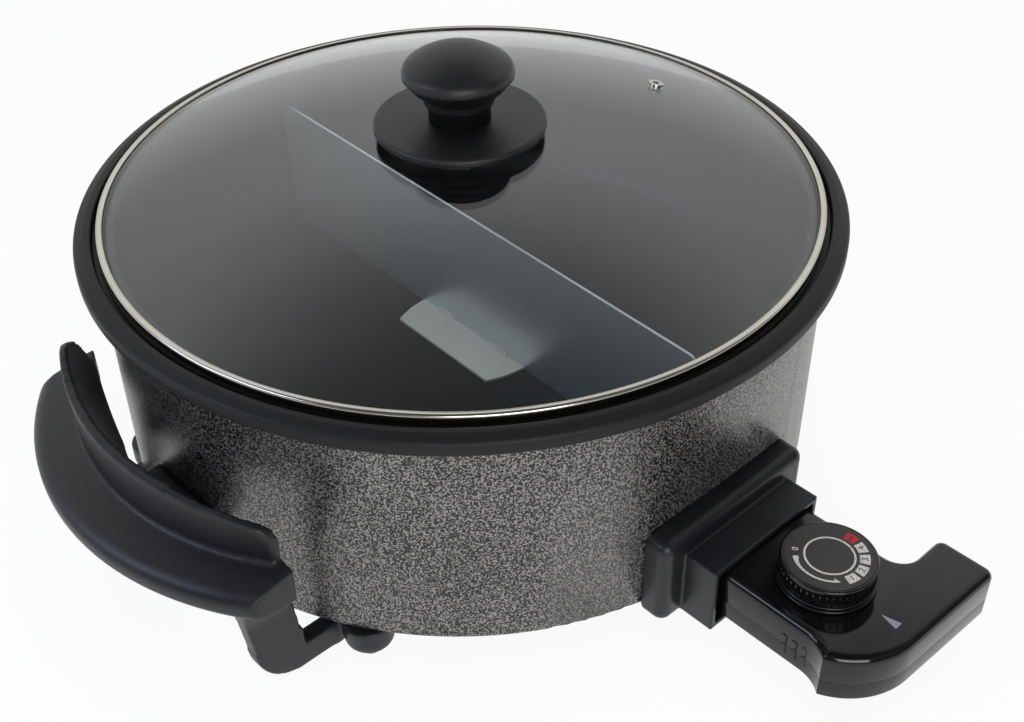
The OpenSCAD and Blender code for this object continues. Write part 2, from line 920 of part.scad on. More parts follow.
module knob_cap() {
    z0 = knob_plate_z;
    edge_z = z0 + knob_h - 10.8;
    crease_z = edge_z - 1.6;
    collar_r = knob_r - 8.5;
    neck_r = collar_r - 1.8;
    at_pan()
        color([0.1, 0.1, 0.11])
            difference() {
                rotate_extrude()
                    union() {
                        polygon([[0, z0], [neck_r, z0], [neck_r, z0 + 7.8], [collar_r - 0.4, z0 + 7.8],
                            [collar_r, z0 + 8.2], [collar_r, z0 + 11.2], [collar_r + 0.7, z0 + 11.7],
                            [knob_r - 0.9, crease_z + 0.1], [0, crease_z + 0.1]]);
                        intersection() {
                            union() {
                                translate([0, crease_z])
                                    square([knob_r - 2.4, 20]);
                                translate([knob_r - 5, edge_z])
                                    circle(5);
                            }
                            translate([0, z0 + knob_h - 36])
                                circle(36);
                            translate([0, crease_z])
                                square([40, 30]);
                        }
                    }
                translate([0, 0, z0 - 1])
                    cylinder(r = 2.5 + fit_gap, h = 15);
            }
}

module knob_screw() {
    at_pan()
        color([0.78, 0.78, 0.79])
            union() {
                translate([0, 0, dome_top - glass_t - 4.6])
                    cylinder(r = 6, h = 3);
                translate([0, 0, dome_top - glass_t - 2])
                    cylinder(r = 2.5, h = 24);
            }
}

module knob_washer() {
    at_pan()
        color([0.12, 0.12, 0.12])
            difference() {
                translate([0, 0, dome_top - glass_t - 1.6])
                    cylinder(r = 9, h = 1.4);
                translate([0, 0, dome_top - 20])
                    cylinder(r = 2.5 + fit_gap, h = 40);
            }
}

module vent_eyelet() {
    at_pan()
        color([0.82, 0.81, 0.79])
            at_vent()
                difference() {
                    union() {
                        translate([0, 0, 0.05])
                            cylinder(r = 3.6, h = 0.8);
                        translate([0, 0, -glass_t - 0.85])
                            cylinder(r = 3.6, h = 0.8);
                        translate([0, 0, -glass_t - 0.5])
                            cylinder(r = 2.6 - fit_gap, h = glass_t + 1);
                    }
                    translate([0, 0, -20])
                        cylinder(r = 1.5, h = 40);
                }
}

module divider_plate() {
    half = divider_len / 2;
    top_r = 6;
    low_r = 16;
    at_pan()
        color([0.62, 0.64, 0.66])
            rotate([0, 0, divider_turn])
                translate([0, divider_t / 2, floor_z + rest_gap])
                    rotate([90, 0, 0])
                        linear_extrude(divider_t)
                            union() {
                                translate([-half + low_r, 0])
                                    square([divider_len - 2 * low_r, divider_h]);
                                translate([-half, low_r])
                                    square([divider_len, divider_h - low_r - top_r]);
                                for (s = [-1, 1]) {
                                    translate([s * (half - low_r), low_r])
                                        circle(low_r);
                                    translate([s * (half - top_r), divider_h - top_r])
                                        circle(top_r);
                                    translate([s * (half - 11) - 5, divider_h - top_r - 2])
                                        square([10, top_r + 2]);
                                }
                            }
}

// Rounded foot on one side of the divider, side = -1 or 1
module divider_foot(side) {
    bow = 43;
    mid = 4.2;
    out = bow - foot_len / 2;
    mirror([0, side > 0 ? 0 : 1, 0])
        translate([0, divider_t / 2, floor_z + rest_gap]) {
            linear_extrude(divider_t)
                intersection() {
                    translate([mid - out, 0])
                        circle(bow);
                    translate([mid + out, 0])
                        circle(bow);
                    translate([mid - foot_len, 0])
                        square([2 * foot_len, foot_w]);
                }
            for (x = [mid - 24, mid + 12])
                translate([x, 0, 0])
                    cube([12, divider_t, 3]);
        }
}

module divider_feet() {
    at_pan()
        color([0.74, 0.75, 0.76])
            rotate([0, 0, divider_turn]) {
                divider_foot(-1);
                divider_foot(1);
            }
}

// Plan of the thermostat body about the pan axis, drawn smaller by d
module body_2d(d) {
    half = neck_half - d;
    translate([nose_x + d, -half])
        square([arm_in_x + 2 - nose_x - d, 2 * half]);
    difference() {
        intersection() {
            translate([end_x, -1])
                circle(end_r - d);
            translate([end_x + 2, -60])
                square([60, 70]);
        }
        translate([end_x + 2, -neck_half - 18])
            circle(18 + d);
    }
    translate([arm_in_x + d, 0])
        polygon([[0, -6], [end_x + end_r - 0.5 - arm_in_x - 2 * d, -6], [end_x + end_r - arm_in_x - 2 * d, 0],
            [arm_out_x - arm_in_x - 2 * d, arm_side - 4], [arm_out_x - arm_in_x - 2 * d - 3, arm_side - d],
            [3, arm_side - d], [0, arm_side - 4]]);
    difference() {
        translate([arm_in_x - 9, neck_half - d - 1])
            square([9 + d + 1, 10 + d]);
        translate([arm_in_x - 9, neck_half + 9])
            circle(9 + d);
    }
}

// Cutter that rounds a straight top edge from p to q, the body on its left
module edge_cut(p, q, r, z) {
    len = norm([q[0] - p[0], q[1] - p[1]]);
    translate([p[0], p[1], z])
        rotate([0, 0, atan2(q[1] - p[1], q[0] - p[0])])
            rotate([90, 0, 90])
                translate([0, 0, -0.5])
                    linear_extrude(len + 1)
                        difference() {
                            translate([-1, -r])
                                square([r + 1, r + 1]);
                            translate([r, -r])
                                circle(r);
                        }
}

// Holes of the nose for the contact sleeves and the probe
module nose_holes() {
    for (s = [-1, 1])
        along_x(nose_x - 1, s * pin_half, pin_z)
            cylinder(r = pin_r + 2.4, h = 24);
    along_x(nose_x - 1, 0, pin_z)
        cylinder(r = probe_r + fit_gap, h = 5);
}

// Screw positions of the thermostat shells
module shell_screw_spots() {
    for (p = [[nose_x + 24, 20.5], [nose_x + 24, -20.5], [arm_in_x + 12, arm_side - 17]])
        translate([p[0], p[1], 0])
            children();
}

module cord_hole(r) {
    translate([arm_in_x + 12.4, arm_side + 1, seam_z + 1.5])
        rotate([90, 0, 0])
            cylinder(r = r, h = 8);
}

module control_top() {
    r = 3.2;
    at_pan()
        color([0.05, 0.05, 0.06])
            difference() {
                union() {
                    difference() {
                        translate([0, 0, seam_z])
                            linear_extrude(body_top - seam_z)
                                body_2d(0);
                        translate([0, 0, seam_z - 1])
                            linear_extrude(body_top - shell_t - seam_z + 1)
                                body_2d(shell_t);
                        edge_cut([end_x - 4, -neck_half], [nose_x + 6, -neck_half], r, body_top);
                        edge_cut([nose_x + 6, neck_half], [arm_in_x - 10, neck_half], r, body_top);
                        edge_cut([end_x + end_r, 0], [arm_out_x, arm_side - 4], r, body_top);
                    }
                    intersection() {
                        translate([0, 0, seam_z])
                            linear_extrude(body_top - seam_z)
                                body_2d(0.4);
                        shell_screw_spots()
                            translate([0, 0, seam_z])
                                cylinder(r = 3.6, h = body_top - seam_z - 1);
                    }
                }
                nose_holes();
                shell_screw_spots()
                    translate([0, 0, seam_z - 1])
                        cylinder(r = 1.5 + fit_gap, h = 9);
                translate([dial_x, 0, seam_z])
                    cylinder(r = 3 + slide_gap, h = 30);
                translate([dial_x + 30, 0, seam_z])
                    linear_extrude(30)
                        lens_2d(fit_gap);
                cord_hole(5 + fit_gap);
            }
}

module control_base() {
    at_pan()
        color([0.06, 0.06, 0.07])
            difference() {
                union() {
                    difference() {
                        translate([0, 0, body_z])
                            linear_extrude(seam_h)
                                body_2d(0);
                        translate([0, 0, body_z + shell_t])
                            linear_extrude(seam_h)
                                body_2d(shell_t);
                    }
                    shell_screw_spots()
                        translate([0, 0, body_z])
                            cylinder(r = 3.6, h = seam_h);
                }
                nose_holes();
                shell_screw_spots() {
                    translate([0, 0, body_z - 1])
                        cylinder(r = 1.5 + fit_gap, h = seam_h + 2);
                    translate([0, 0, body_z - 1])
                        cylinder(r = 2.8, h = 3.4);
                }
                cord_hole(5 + fit_gap);
            }
}

module control_screws() {
    at_pan()
        color([0.7, 0.7, 0.71])
            shell_screw_spots() {
                translate([0, 0, body_z + 0.8])
                    cylinder(r = 2.7, h = 1.6);
                translate([0, 0, body_z + 2])
                    cylinder(r = 1.5, h = seam_h + 4);
            }
}

module probe_rod() {
    at_pan()
        color([0.8, 0.8, 0.8])
            union() {
                along_x(probe_tip_x, 0, pin_z)
                    cylinder(r = probe_r, h = nose_x + 14 - probe_tip_x);
                translate([probe_tip_x, 0, pin_z])
                    sphere(probe_r);
                along_x(nose_x + shell_t + 0.1, 0, pin_z)
                    cylinder(r = probe_r + 2, h = 3);
            }
}

module contact_sleeves() {
    at_pan()
        color([0.8, 0.72, 0.5])
            for (s = [-1, 1])
                difference() {
                    along_x(nose_x + 0.6, s * pin_half, pin_z)
                        cylinder(r = pin_r + 2.3, h = 17);
                    along_x(nose_x - 1, s * pin_half, pin_z)
                        cylinder(r = pin_r + slide_gap, h = 14);
                }
}

module switch_block() {
    z0 = body_z + shell_t;
    at_pan()
        color([0.75, 0.7, 0.6])
            difference() {
                translate([dial_x - 17, -13, z0])
                    cube([32, 26, 9]);
                translate([dial_x, 0, z0 + 5])
                    cylinder(r = 3 + slide_gap, h = 20);
            }
}

// Triangular lens, its point toward the dial
module lens_2d(d) {
    polygon([[-4 - 2 * d, 0], [3.5 + d, -1.9 - 1.5 * d], [3.5 + d, 1.9 + 1.5 * d]]);
}

module pilot_lens() {
    at_pan()
        color([0.75, 0.75, 0.78])
            translate([dial_x + 30, 0, body_top - shell_t])
                linear_extrude(shell_t)
                    lens_2d(0);
}

module pilot_lamp() {
    at_pan()
        color([0.9, 0.5, 0.3])
            union() {
                translate([dial_x + 30.5, 0, body_z + shell_t])
                    cylinder(r = 3, h = 9);
                translate([dial_x + 30.5, 0, body_z + shell_t + 9])
                    cylinder(r = 2.2, h = body_h - 2 * shell_t - 9);
            }
}

module cord_gland() {
    at_pan()
        color([0.08, 0.08, 0.08])
            translate([arm_in_x + 12.4, 0, seam_z + 1.5])
                rotate([-90, 0, 0])
                    difference() {
                        union() {
                            translate([0, 0, arm_side - 6])
                                cylinder(r = 5, h = 6);
                            translate([0, 0, arm_side - 6])
                                cylinder(r = 6.4, h = 3.4);
                        }
                        translate([0, 0, arm_side - 8])
                            cylinder(r = 3.2, h = 12);
                    }
}

module dial_knob() {
    z0 = body_top + 0.5;
    at_dial()
        color([0.06, 0.06, 0.07])
            difference() {
                union() {
                    translate([0, 0, z0])
                        cylinder(r = dial_r, h = 3);
                    translate([0, 0, z0 + 3])
                        cylinder(r = dial_r - 0.5, h = dial_h - 4.1);
                    translate([0, 0, z0 + dial_h - 1.1])
                        cylinder(r1 = dial_r - 0.5, r2 = dial_r - 1.2, h = 0.7);
                }
                translate([0, 0, z0 + dial_h - 1.4])
                    cylinder(r = dial_r - 2, h = 3);
                translate([0, 0, z0 - 1])
                    cylinder(r = 3 + fit_gap, h = 9);
                for (i = [0 : dial_grooves - 1])
                    rotate([0, 0, 360 / dial_grooves * i])
                        translate([dial_r - 0.2, 0, z0 + 3.2])
                            cylinder(r = 0.65, h = dial_h - 5.4, $fn = 16);
            }
}

module dial_face() {
    at_dial()
        color([0.13, 0.13, 0.14])
            translate([0, 0, body_top + 0.5 + dial_h - 1.4])
                cylinder(r = dial_r - 2 - fit_gap, h = 1.4);
}

module dial_spindle() {
    at_dial()
        color([0.76, 0.76, 0.77])
            translate([0, 0, body_z + shell_t + 6])
                cylinder(r = 3, h = body_top + 8 - body_z - shell_t - 6);
}

inner_pan();
outer_casing();
base_plate();
base_screws();
heating_element();
element_clamps();
terminal_straps();
contact_pins();
pin_block();
probe_block();
heat_shield();
inlet_shroud();
inlet_screws();
grip_near();
grip_far();
grip_screws();
foot_screws();
foot_pads();
lid_glass();
lid_band();
knob_seal();
knob_plate();
knob_cap();
knob_screw();
knob_washer();
vent_eyelet();
divider_plate();
divider_feet();
control_top();
control_base();
control_screws();
probe_rod();
contact_sleeves();
switch_block();
pilot_lens();
pilot_lamp();
cord_gland();
dial_knob();
dial_face();
dial_spindle();
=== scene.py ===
"""Looks of an electric grill pan: finishes, moulded pieces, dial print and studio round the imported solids."""

import json
import logging
import math
from dataclasses import dataclass
from enum import Enum
from typing import Any, Iterable

import bmesh
import bpy
from mathutils import Matrix, Vector


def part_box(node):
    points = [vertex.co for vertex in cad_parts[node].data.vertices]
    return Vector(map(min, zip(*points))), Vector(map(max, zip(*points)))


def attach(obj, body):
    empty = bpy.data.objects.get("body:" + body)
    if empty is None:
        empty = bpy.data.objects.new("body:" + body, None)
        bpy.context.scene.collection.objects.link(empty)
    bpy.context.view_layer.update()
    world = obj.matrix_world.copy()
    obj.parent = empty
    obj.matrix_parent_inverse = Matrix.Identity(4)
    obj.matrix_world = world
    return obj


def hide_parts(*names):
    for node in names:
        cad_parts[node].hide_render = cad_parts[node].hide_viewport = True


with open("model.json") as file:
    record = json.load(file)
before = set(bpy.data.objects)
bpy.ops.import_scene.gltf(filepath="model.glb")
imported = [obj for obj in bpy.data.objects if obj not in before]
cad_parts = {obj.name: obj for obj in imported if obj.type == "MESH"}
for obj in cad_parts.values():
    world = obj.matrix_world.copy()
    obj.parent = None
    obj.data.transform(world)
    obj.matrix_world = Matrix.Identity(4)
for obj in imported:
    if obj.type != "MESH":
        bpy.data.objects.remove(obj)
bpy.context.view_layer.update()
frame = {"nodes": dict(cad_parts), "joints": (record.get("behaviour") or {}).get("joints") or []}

LOG = logging.getLogger("grill_pan")
MM = 0.001
Point2 = tuple[float, float]
Point3 = tuple[float, float, float]
Point4 = tuple[float, float, float, float]
Tree = bpy.types.NodeTree
Socket = bpy.types.NodeSocket
Piece = bpy.types.Object


class Body(Enum):
    """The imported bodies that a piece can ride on."""

    BASE = "base"
    LID = "lid"
    DIVIDER = "divider"
    THERMOSTAT = "thermostat"
    DIAL = "dial"


def linear(code: str) -> Point4:
    """Turns an sRGB hex colour to linear light.

    Args:
        code: Colour such as "#8a8a88".

    Returns:
        Red, green, blue and an alpha of 1.
    """
    shares = [int(code[i:i + 2], 16) / 255 for i in (1, 3, 5)]
    low = [s / 12.92 if s <= 0.04045 else ((s + 0.055) / 1.055) ** 2.4 for s in shares]
    return low[0], low[1], low[2], 1.0


def add(tree: Tree, kind: str, inputs: dict[Any, Any] | None = None, **settings: Any) -> bpy.types.Node:
    """Adds a node with its settings and links.

    Args:
        tree: Tree that takes the node.
        kind: Blender's name of the node type.
        inputs: Input name or index to a value, or to an output socket to link.
        settings: Properties of the node itself.

    Returns:
        The new node.
    """
    node = tree.nodes.new(kind)
    for name, value in settings.items():
        setattr(node, name, value)
    for key, value in (inputs or {}).items():
        if isinstance(value, Socket):
            tree.links.new(value, node.inputs[key])
        else:
            node.inputs[key].default_value = value
    return node


@dataclass(frozen=True)
class Finish:
    """A surface finish that builds one node material under its own name."""

    name: str

    def shader(self, tree: Tree) -> Socket:
        """Builds the finish's nodes.

        Args:
            tree: Empty material tree.

        Returns:
            The shader socket for the material output.
        """
        raise NotImplementedError

    def patterns(self, tree: Tree, *grains: Point2) -> list[Socket]:
        """Lays noise of several sizes over the piece's own coordinates.

        Args:
            tree: Material tree.
            grains: Size in millimetres and detail of each noise.

        Returns:
            The coordinates, then the value of each noise.
        """
        place = add(tree, "ShaderNodeTexCoord").outputs["Object"]
        sockets = [place]
        for size, detail in grains:
            values = {"Vector": place, "Scale": 1 / (size * MM), "Detail": detail}
            sockets.append(add(tree, "ShaderNodeTexNoise", values).outputs[0])
        return sockets

    def surface(self, tree: Tree, tones: tuple[str, str], share: Socket, wear: Socket, gloss: Point2,
                relief: tuple[float, float, Socket] | None = None, **more: Any) -> Socket:
        """Builds the end that most finishes share: two tones, an uneven gloss and a fine relief.

        Args:
            tree: Material tree.
            tones: The two colours as hex codes.
            share: How much of the second colour shows.
            wear: Pattern that the roughness follows.
            gloss: Roughness where that pattern is 0 and where it is 1.
            relief: Strength, depth in millimetres and pattern of the bump.
            more: Other inputs of the shader, by name.

        Returns:
            The shader socket.
        """
        colour = add(tree, "ShaderNodeMix", {0: share, 6: linear(tones[0]), 7: linear(tones[1])},
                     data_type="RGBA").outputs[2]
        rough = add(tree, "ShaderNodeMapRange",
                    {"Value": wear, "To Min": gloss[0], "To Max": gloss[1]}).outputs[0]
        values = {"Base Color": colour, "Roughness": rough} | more
        if relief:
            strength, depth, height = relief
            bump = {"Strength": strength, "Distance": depth * MM, "Height": height}
            values["Normal"] = add(tree, "ShaderNodeBump", bump).outputs[0]
        return add(tree, "ShaderNodeBsdfPrincipled", values).outputs[0]

    def material(self) -> bpy.types.Material:
        """Makes the material once and then shares it.

        Returns:
            The material.
        """
        found = bpy.data.materials.get(self.name)
        if found:
            return found
        made = bpy.data.materials.new(self.name)
        made.use_nodes = True
        made.node_tree.nodes.clear()
        add(made.node_tree, "ShaderNodeOutputMaterial", {"Surface": self.shader(made.node_tree)})
        return made


@dataclass(frozen=True)
class HammertonePaint(Finish):
    """Hammertone enamel on steel sheet: black ground with a fine net of pale metal worms under a gloss."""

    ground: str = "#09090a"
    vein: str = "#959391"
    flake: float = 0.7
    vein_mm: float = 0.8
    vein_edge: Point2 = (0.54, 0.585)
    cloud_mm: float = 55.0
    cloud_lean: float = 0.06
    gloss: Point2 = (0.3, 0.42)
    bump: float = 0.35
    depth_mm: float = 0.12

    def shader(self, tree: Tree) -> Socket:
        """Builds the paint.

        Args:
            tree: Empty material tree.

        Returns:
            The shader socket for the material output.
        """
        place, cloud = self.patterns(tree, (self.cloud_mm, 1.0))
        worms = add(tree, "ShaderNodeTexNoise",
                    {"Vector": place, "Scale": 1 / (self.vein_mm * MM), "Detail": 1.5,
                     "Distortion": 0.5}).outputs[0]
        leant = add(tree, "ShaderNodeMath", {0: cloud, 1: self.cloud_lean, 2: worms},
                    operation="MULTIPLY_ADD").outputs[0]
        low, high = self.vein_edge
        net = add(tree, "ShaderNodeMapRange", {"Value": leant, "From Min": low, "From Max": high},
                  interpolation_type="SMOOTHSTEP").outputs[0]
        metal = add(tree, "ShaderNodeMath", {0: net, 1: self.flake}, operation="MULTIPLY").outputs[0]
        return self.surface(tree, (self.ground, self.vein), net, net, self.gloss,
                            (self.bump, self.depth_mm, worms), Metallic=metal)


@dataclass(frozen=True)
class NonStickCoat(Finish):
    """Sprayed non-stick coat on cast aluminium: near-black satin, orange-peel and rare bright specks."""

    colour: str = "#131314"
    speck: str = "#3c3e42"
    speck_mm: float = 1.6
    speck_edge: Point2 = (0.02, 0.12)
    speck_share: float = 0.25
    roughness: float = 0.5
    spread: float = 0.06
    cloud_mm: float = 60.0
    # A sprayed peel is finer than this; it is drawn as coarse as it needs to show.
    peel_mm: float = 0.9
    bump: float = 0.1
    depth_mm: float = 0.06
    ior: float = 1.36

    def shader(self, tree: Tree) -> Socket:
        """Builds the coat.

        Args:
            tree: Empty material tree.

        Returns:
            The shader socket for the material output.
        """
        place, peel, cloud = self.patterns(tree, (self.peel_mm, 3.0), (self.cloud_mm, 2.0))
        cells = add(tree, "ShaderNodeTexVoronoi",
                    {"Vector": place, "Scale": 1 / (self.speck_mm * MM)}).outputs["Distance"]
        low, high = self.speck_edge
        fleck = add(tree, "ShaderNodeMapRange", {"Value": cells, "From Min": low, "From Max": high,
                                                 "To Min": self.speck_share, "To Max": 0.0}).outputs[0]
        return self.surface(tree, (self.colour, self.speck), fleck, cloud,
                            (self.roughness - self.spread, self.roughness + self.spread),
                            (self.bump, self.depth_mm, peel), IOR=self.ior)


@dataclass(frozen=True)
class MouldedPlastic(Finish):
    """Moulded phenolic or ABS: even colour with faint flow clouds, a fine mould grain and rubbed patches."""

    colour: str = "#131315"
    rubbed: str = "#19191c"
    roughness: float = 0.42
    spread: float = 0.06
    cloud_mm: float = 30.0
    patch_edge: Point2 = (0.35, 0.7)
    # A spark-eroded grain is nearer 0.1 mm; it is drawn as coarse as it needs to show.
    grain_mm: float = 0.8
    depth_mm: float = 0.03
    bump: float = 0.25
    ior: float = 1.5

    def shader(self, tree: Tree) -> Socket:
        """Builds the plastic.

        Args:
            tree: Empty material tree.

        Returns:
            The shader socket for the material output.
        """
        _, cloud, grain = self.patterns(tree, (self.cloud_mm, 3.0), (self.grain_mm, 2.0))
        low, high = self.patch_edge
        share = add(tree, "ShaderNodeMapRange",
                    {"Value": cloud, "From Min": low, "From Max": high}).outputs[0]
        return self.surface(tree, (self.colour, self.rubbed), share, cloud,
                            (self.roughness - self.spread, self.roughness + self.spread),
                            (self.bump, self.depth_mm, grain), IOR=self.ior)


@dataclass(frozen=True)
class SheetMetal(Finish):
    """Bare or plated metal: fine rolling streaks along one direction and soft blotches of handling."""

    colour: str = "#b8b2a8"
    tarnish: str = "#9a958d"
    roughness: float = 0.24
    spread: Point2 = (-0.06, 0.08)
    cloud_mm: float = 25.0
    # Rolling streaks are hair-fine; they are drawn as wide as they need to show.
    streak_mm: Point3 = (40.0, 40.0, 0.5)
    bump: float = 0.08
    depth_mm: float = 0.02
    metal: float = 1.0

    def shader(self, tree: Tree) -> Socket:
        """Builds the metal.

        Args:
            tree: Empty material tree.

        Returns:
            The shader socket for the material output.
        """
        place, cloud = self.patterns(tree, (self.cloud_mm, 2.0))
        drawn = add(tree, "ShaderNodeMapping",
                    {"Vector": place, "Scale": tuple(1 / (s * MM) for s in self.streak_mm)}).outputs[0]
        streak = add(tree, "ShaderNodeTexNoise", {"Vector": drawn, "Scale": 1.0, "Detail": 2.0}).outputs[0]
        low, high = self.spread
        return self.surface(tree, (self.colour, self.tarnish), cloud, streak,
                            (self.roughness + low, self.roughness + high),
                            (self.bump, self.depth_mm, streak), Metallic=self.metal)


@dataclass(frozen=True)
class TemperedGlass(Finish):
    """Clear tempered soda-lime glass, faintly grey, with a trace of wiping marks; lamps shine through it."""

    tint: str = "#e9eeee"
    ior: float = 1.5
    wipe_mm: float = 45.0
    wipe_edge: Point2 = (0.45, 0.8)
    wipe_rough: float = 0.03

    def shader(self, tree: Tree) -> Socket:
        """Builds the glass.

        Args:
            tree: Empty material tree.

        Returns:
            The shader socket for the material output.
        """
        wipes = self.patterns(tree, (self.wipe_mm, 3.0))[1]
        low, high = self.wipe_edge
        rough = add(tree, "ShaderNodeMapRange",
                    {"Value": wipes, "From Min": low, "From Max": high, "To Min": 0.0,
                     "To Max": self.wipe_rough}).outputs[0]
        glass = add(tree, "ShaderNodeBsdfPrincipled",
                    {"Base Color": linear(self.tint), "Roughness": rough, "IOR": self.ior,
                     "Transmission Weight": 1.0}).outputs[0]
        clear = add(tree, "ShaderNodeBsdfTransparent", {"Color": linear(self.tint)}).outputs[0]
        lamp_ray = add(tree, "ShaderNodeLightPath").outputs["Is Shadow Ray"]
        return add(tree, "ShaderNodeMixShader", {0: lamp_ray, 1: glass, 2: clear}).outputs[0]


@dataclass(frozen=True)
class PrintInk(Finish):
    """Pad-printed ink: flat film a few hundredths thick, its colour broken by tiny pinholes."""

    colour: str = "#c9c6c0"
    thin: str = "#a3a09a"
    # Pinholes are about 0.1 mm; they are drawn as coarse as they need to show.
    pinhole_mm: float = 0.7
    pinhole_edge: Point2 = (0.45, 0.7)
    gloss: Point2 = (0.4, 0.55)

    def shader(self, tree: Tree) -> Socket:
        """Builds the ink.

        Args:
            tree: Empty material tree.

        Returns:
            The shader socket for the material output.
        """
        holes = self.patterns(tree, (self.pinhole_mm, 2.0))[1]
        low, high = self.pinhole_edge
        share = add(tree, "ShaderNodeMapRange",
                    {"Value": holes, "From Min": low, "From Max": high}).outputs[0]
        return self.surface(tree, (self.colour, self.thin), share, holes, self.gloss)


@dataclass(frozen=True)
class Finishes:
    """All finishes of the pan, one for each real material."""

    # Sprayed hammertone on steel: dark, speckled, with a broken gloss.
    casing: Finish = HammertonePaint("hammertone_enamel")
    # Sprayed non-stick on cast aluminium: near-black with a broad satin sheen.
    coat: Finish = NonStickCoat("nonstick_coat")
    # Moulded phenolic in four skins: blue-black satin grips, a smoother inlet, a soft matte knob and its
    # neck, whose near-black, low-gloss skin is painted shade from the cap above it.
    grip: Finish = MouldedPlastic("phenolic_satin", colour="#111216", rubbed="#17181c", ior=1.45)
    inlet: Finish = MouldedPlastic("phenolic_inlet", colour="#15161a", rubbed="#1b1c20",
                                   roughness=0.34, ior=1.44)
    knob: Finish = MouldedPlastic("phenolic_matte", colour="#0f0f10", rubbed="#141416",
                                  roughness=0.44, grain_mm=0.6)
    # The neck's near-black colour is painted shade: the dark under the knob's cap, not a different plastic.
    neck: Finish = MouldedPlastic("phenolic_neck_painted_shade", colour="#050506", rubbed="#070708",
                                  roughness=0.7, ior=1.2)
    # Moulded ABS: a mirror-smooth shell, a glossy dial, its satin plate and the dull marks on the shell.
    shell: Finish = MouldedPlastic("abs_piano_gloss", colour="#0a0a0b", rubbed="#0d0d0e", roughness=0.1,
                                   spread=0.03, grain_mm=6.0, depth_mm=0.02, bump=0.04, ior=1.46)
    dial: Finish = MouldedPlastic("abs_dial_gloss", colour="#0c0c0d", rubbed="#111112",
                                  roughness=0.2, bump=0.1)
    face: Finish = MouldedPlastic("dial_plate_satin", colour="#2a2827", rubbed="#312f2e",
                                  roughness=0.45, grain_mm=0.4)
    mark: Finish = MouldedPlastic("moulded_side_mark", colour="#08080a", rubbed="#0b0b0d", roughness=0.6)
    # Moulded rubber: dull and dusty, hardly any highlight.
    rubber: Finish = MouldedPlastic("nitrile_rubber", colour="#141414", rubbed="#1d1d1d", roughness=0.75,
                                    grain_mm=0.5, bump=0.4)
    # Pressed steatite: cream and chalky.
    insulator: Finish = MouldedPlastic("steatite_insulator", colour="#d8cfbd", rubbed="#c8bda8",
                                       roughness=0.55)
    # Moulded polycarbonate over a lamp: pale and cloudy while the lamp is off, and the amber lamp itself.
    lens: Finish = MouldedPlastic("polycarbonate_lens", colour="#8d8c96", rubbed="#7c7b86", roughness=0.25)
    lamp: Finish = MouldedPlastic("amber_lamp", colour="#c9773c", rubbed="#b5652e", roughness=0.3)
    # Tempered glass: clear, with sharp reflections.
    glass: Finish = TemperedGlass("tempered_glass")
    # Rolled stainless band: bright, with a thin warm highlight.
    band: Finish = SheetMetal("rolled_band_steel", colour="#cfccc4", tarnish="#bab6ad", roughness=0.17)
    # Zinc-plated steel: a greyer sheet with streaks along one way, and brighter screws.
    sheet: Finish = SheetMetal("zinc_plated_sheet", colour="#9a9c9e", tarnish="#85888b", roughness=0.36,
                               streak_mm=(60.0, 0.6, 60.0), bump=0.15)
    plated: Finish = SheetMetal("zinc_plated_screw", colour="#b4b4b6", tarnish="#98989a", roughness=0.32)
    # Fired heater sheath: dark brown steel without shine.
    heater: Finish = SheetMetal("heater_sheath_steel", colour="#5a5450", tarnish="#47423f", roughness=0.5)
    # Stamped brass, nickel plate and rough cast aluminium: yellow, near-mirror and dull grey.
    brass: Finish = SheetMetal("terminal_brass", colour="#c2a262", tarnish="#a5874c", roughness=0.34)
    nickel: Finish = SheetMetal("nickel_plated_pin", colour="#cfccc6", tarnish="#b8b4ac", roughness=0.18)
    cast: Finish = SheetMetal("cast_aluminium", colour="#a3a5a8", tarnish="#8a8c90", roughness=0.5, bump=0.3)
    # Rolled aluminium divider and its satin foot, both dulled by an oxide film: soft pale grey. The foot's
    # paler, almost matte colour is painted light, the bright sheen its upward face shows under the glass.
    divider: Finish = SheetMetal("divider_aluminium", colour="#b3b2af", tarnish="#a3a29f", roughness=0.3,
                                 streak_mm=(80.0, 0.8, 0.8), bump=0.1, metal=0.85)
    # Painted light: this paler, nearly non-metallic copy of the divider's aluminium stands in for the sheen on
    # the foot's upward face.
    foot: Finish = SheetMetal("divider_foot_painted_sheen", colour="#e2dccf", tarnish="#d6d0c3", roughness=0.4,
                              streak_mm=(40.0, 0.8, 0.8), bump=0.1, metal=0.15)
    # Pad-printed inks: flat and even, in pale grey, red and the plate's own dark.
    ink: Finish = PrintInk("ink_pale")
    ink_red: Finish = PrintInk("ink_red", colour="#b3262c", thin="#8f1f26")
    ink_dark: Finish = PrintInk("ink_dark", colour="#2a2827", thin="#353331")


def linked(name: str, data: bpy.types.ID) -> Piece:
    """Makes an object of a mesh, curve, lamp or camera and links it to the scene.

    Args:
        name: Name of the new object.
        data: What it holds.

    Returns:
        The new object.
    """
    made = bpy.data.objects.new(name, data)
    bpy.context.scene.collection.objects.link(made)
    return made


def from_bmesh(name: str, bm: bmesh.types.BMesh, merge_mm: float = 0.002, outward: bool = True) -> Piece:
    """Closes a bmesh into a linked object.

    Args:
        name: Name of the new object.
        bm: Finished bmesh, freed here.
        merge_mm: Points nearer than this become one.
        outward: Whether its faces are turned outward.

    Returns:
        The new object.
    """
    bmesh.ops.remove_doubles(bm, verts=bm.verts, dist=merge_mm * MM)
    if outward:
        bmesh.ops.recalc_face_normals(bm, faces=bm.faces)
    mesh = bpy.data.meshes.new(name)
    bm.to_mesh(mesh)
    bm.free()
    return linked(name, mesh)


def evaluated(source: Piece) -> bpy.types.Mesh:
    """Takes the finished mesh of an object with modifiers or type.

    Args:
        source: The object, used up here.

    Returns:
        Its plain mesh.
    """
    graph = bpy.context.evaluated_depsgraph_get()
    mesh = bpy.data.meshes.new_from_object(source.evaluated_get(graph))
    bpy.data.objects.remove(source)
    return mesh


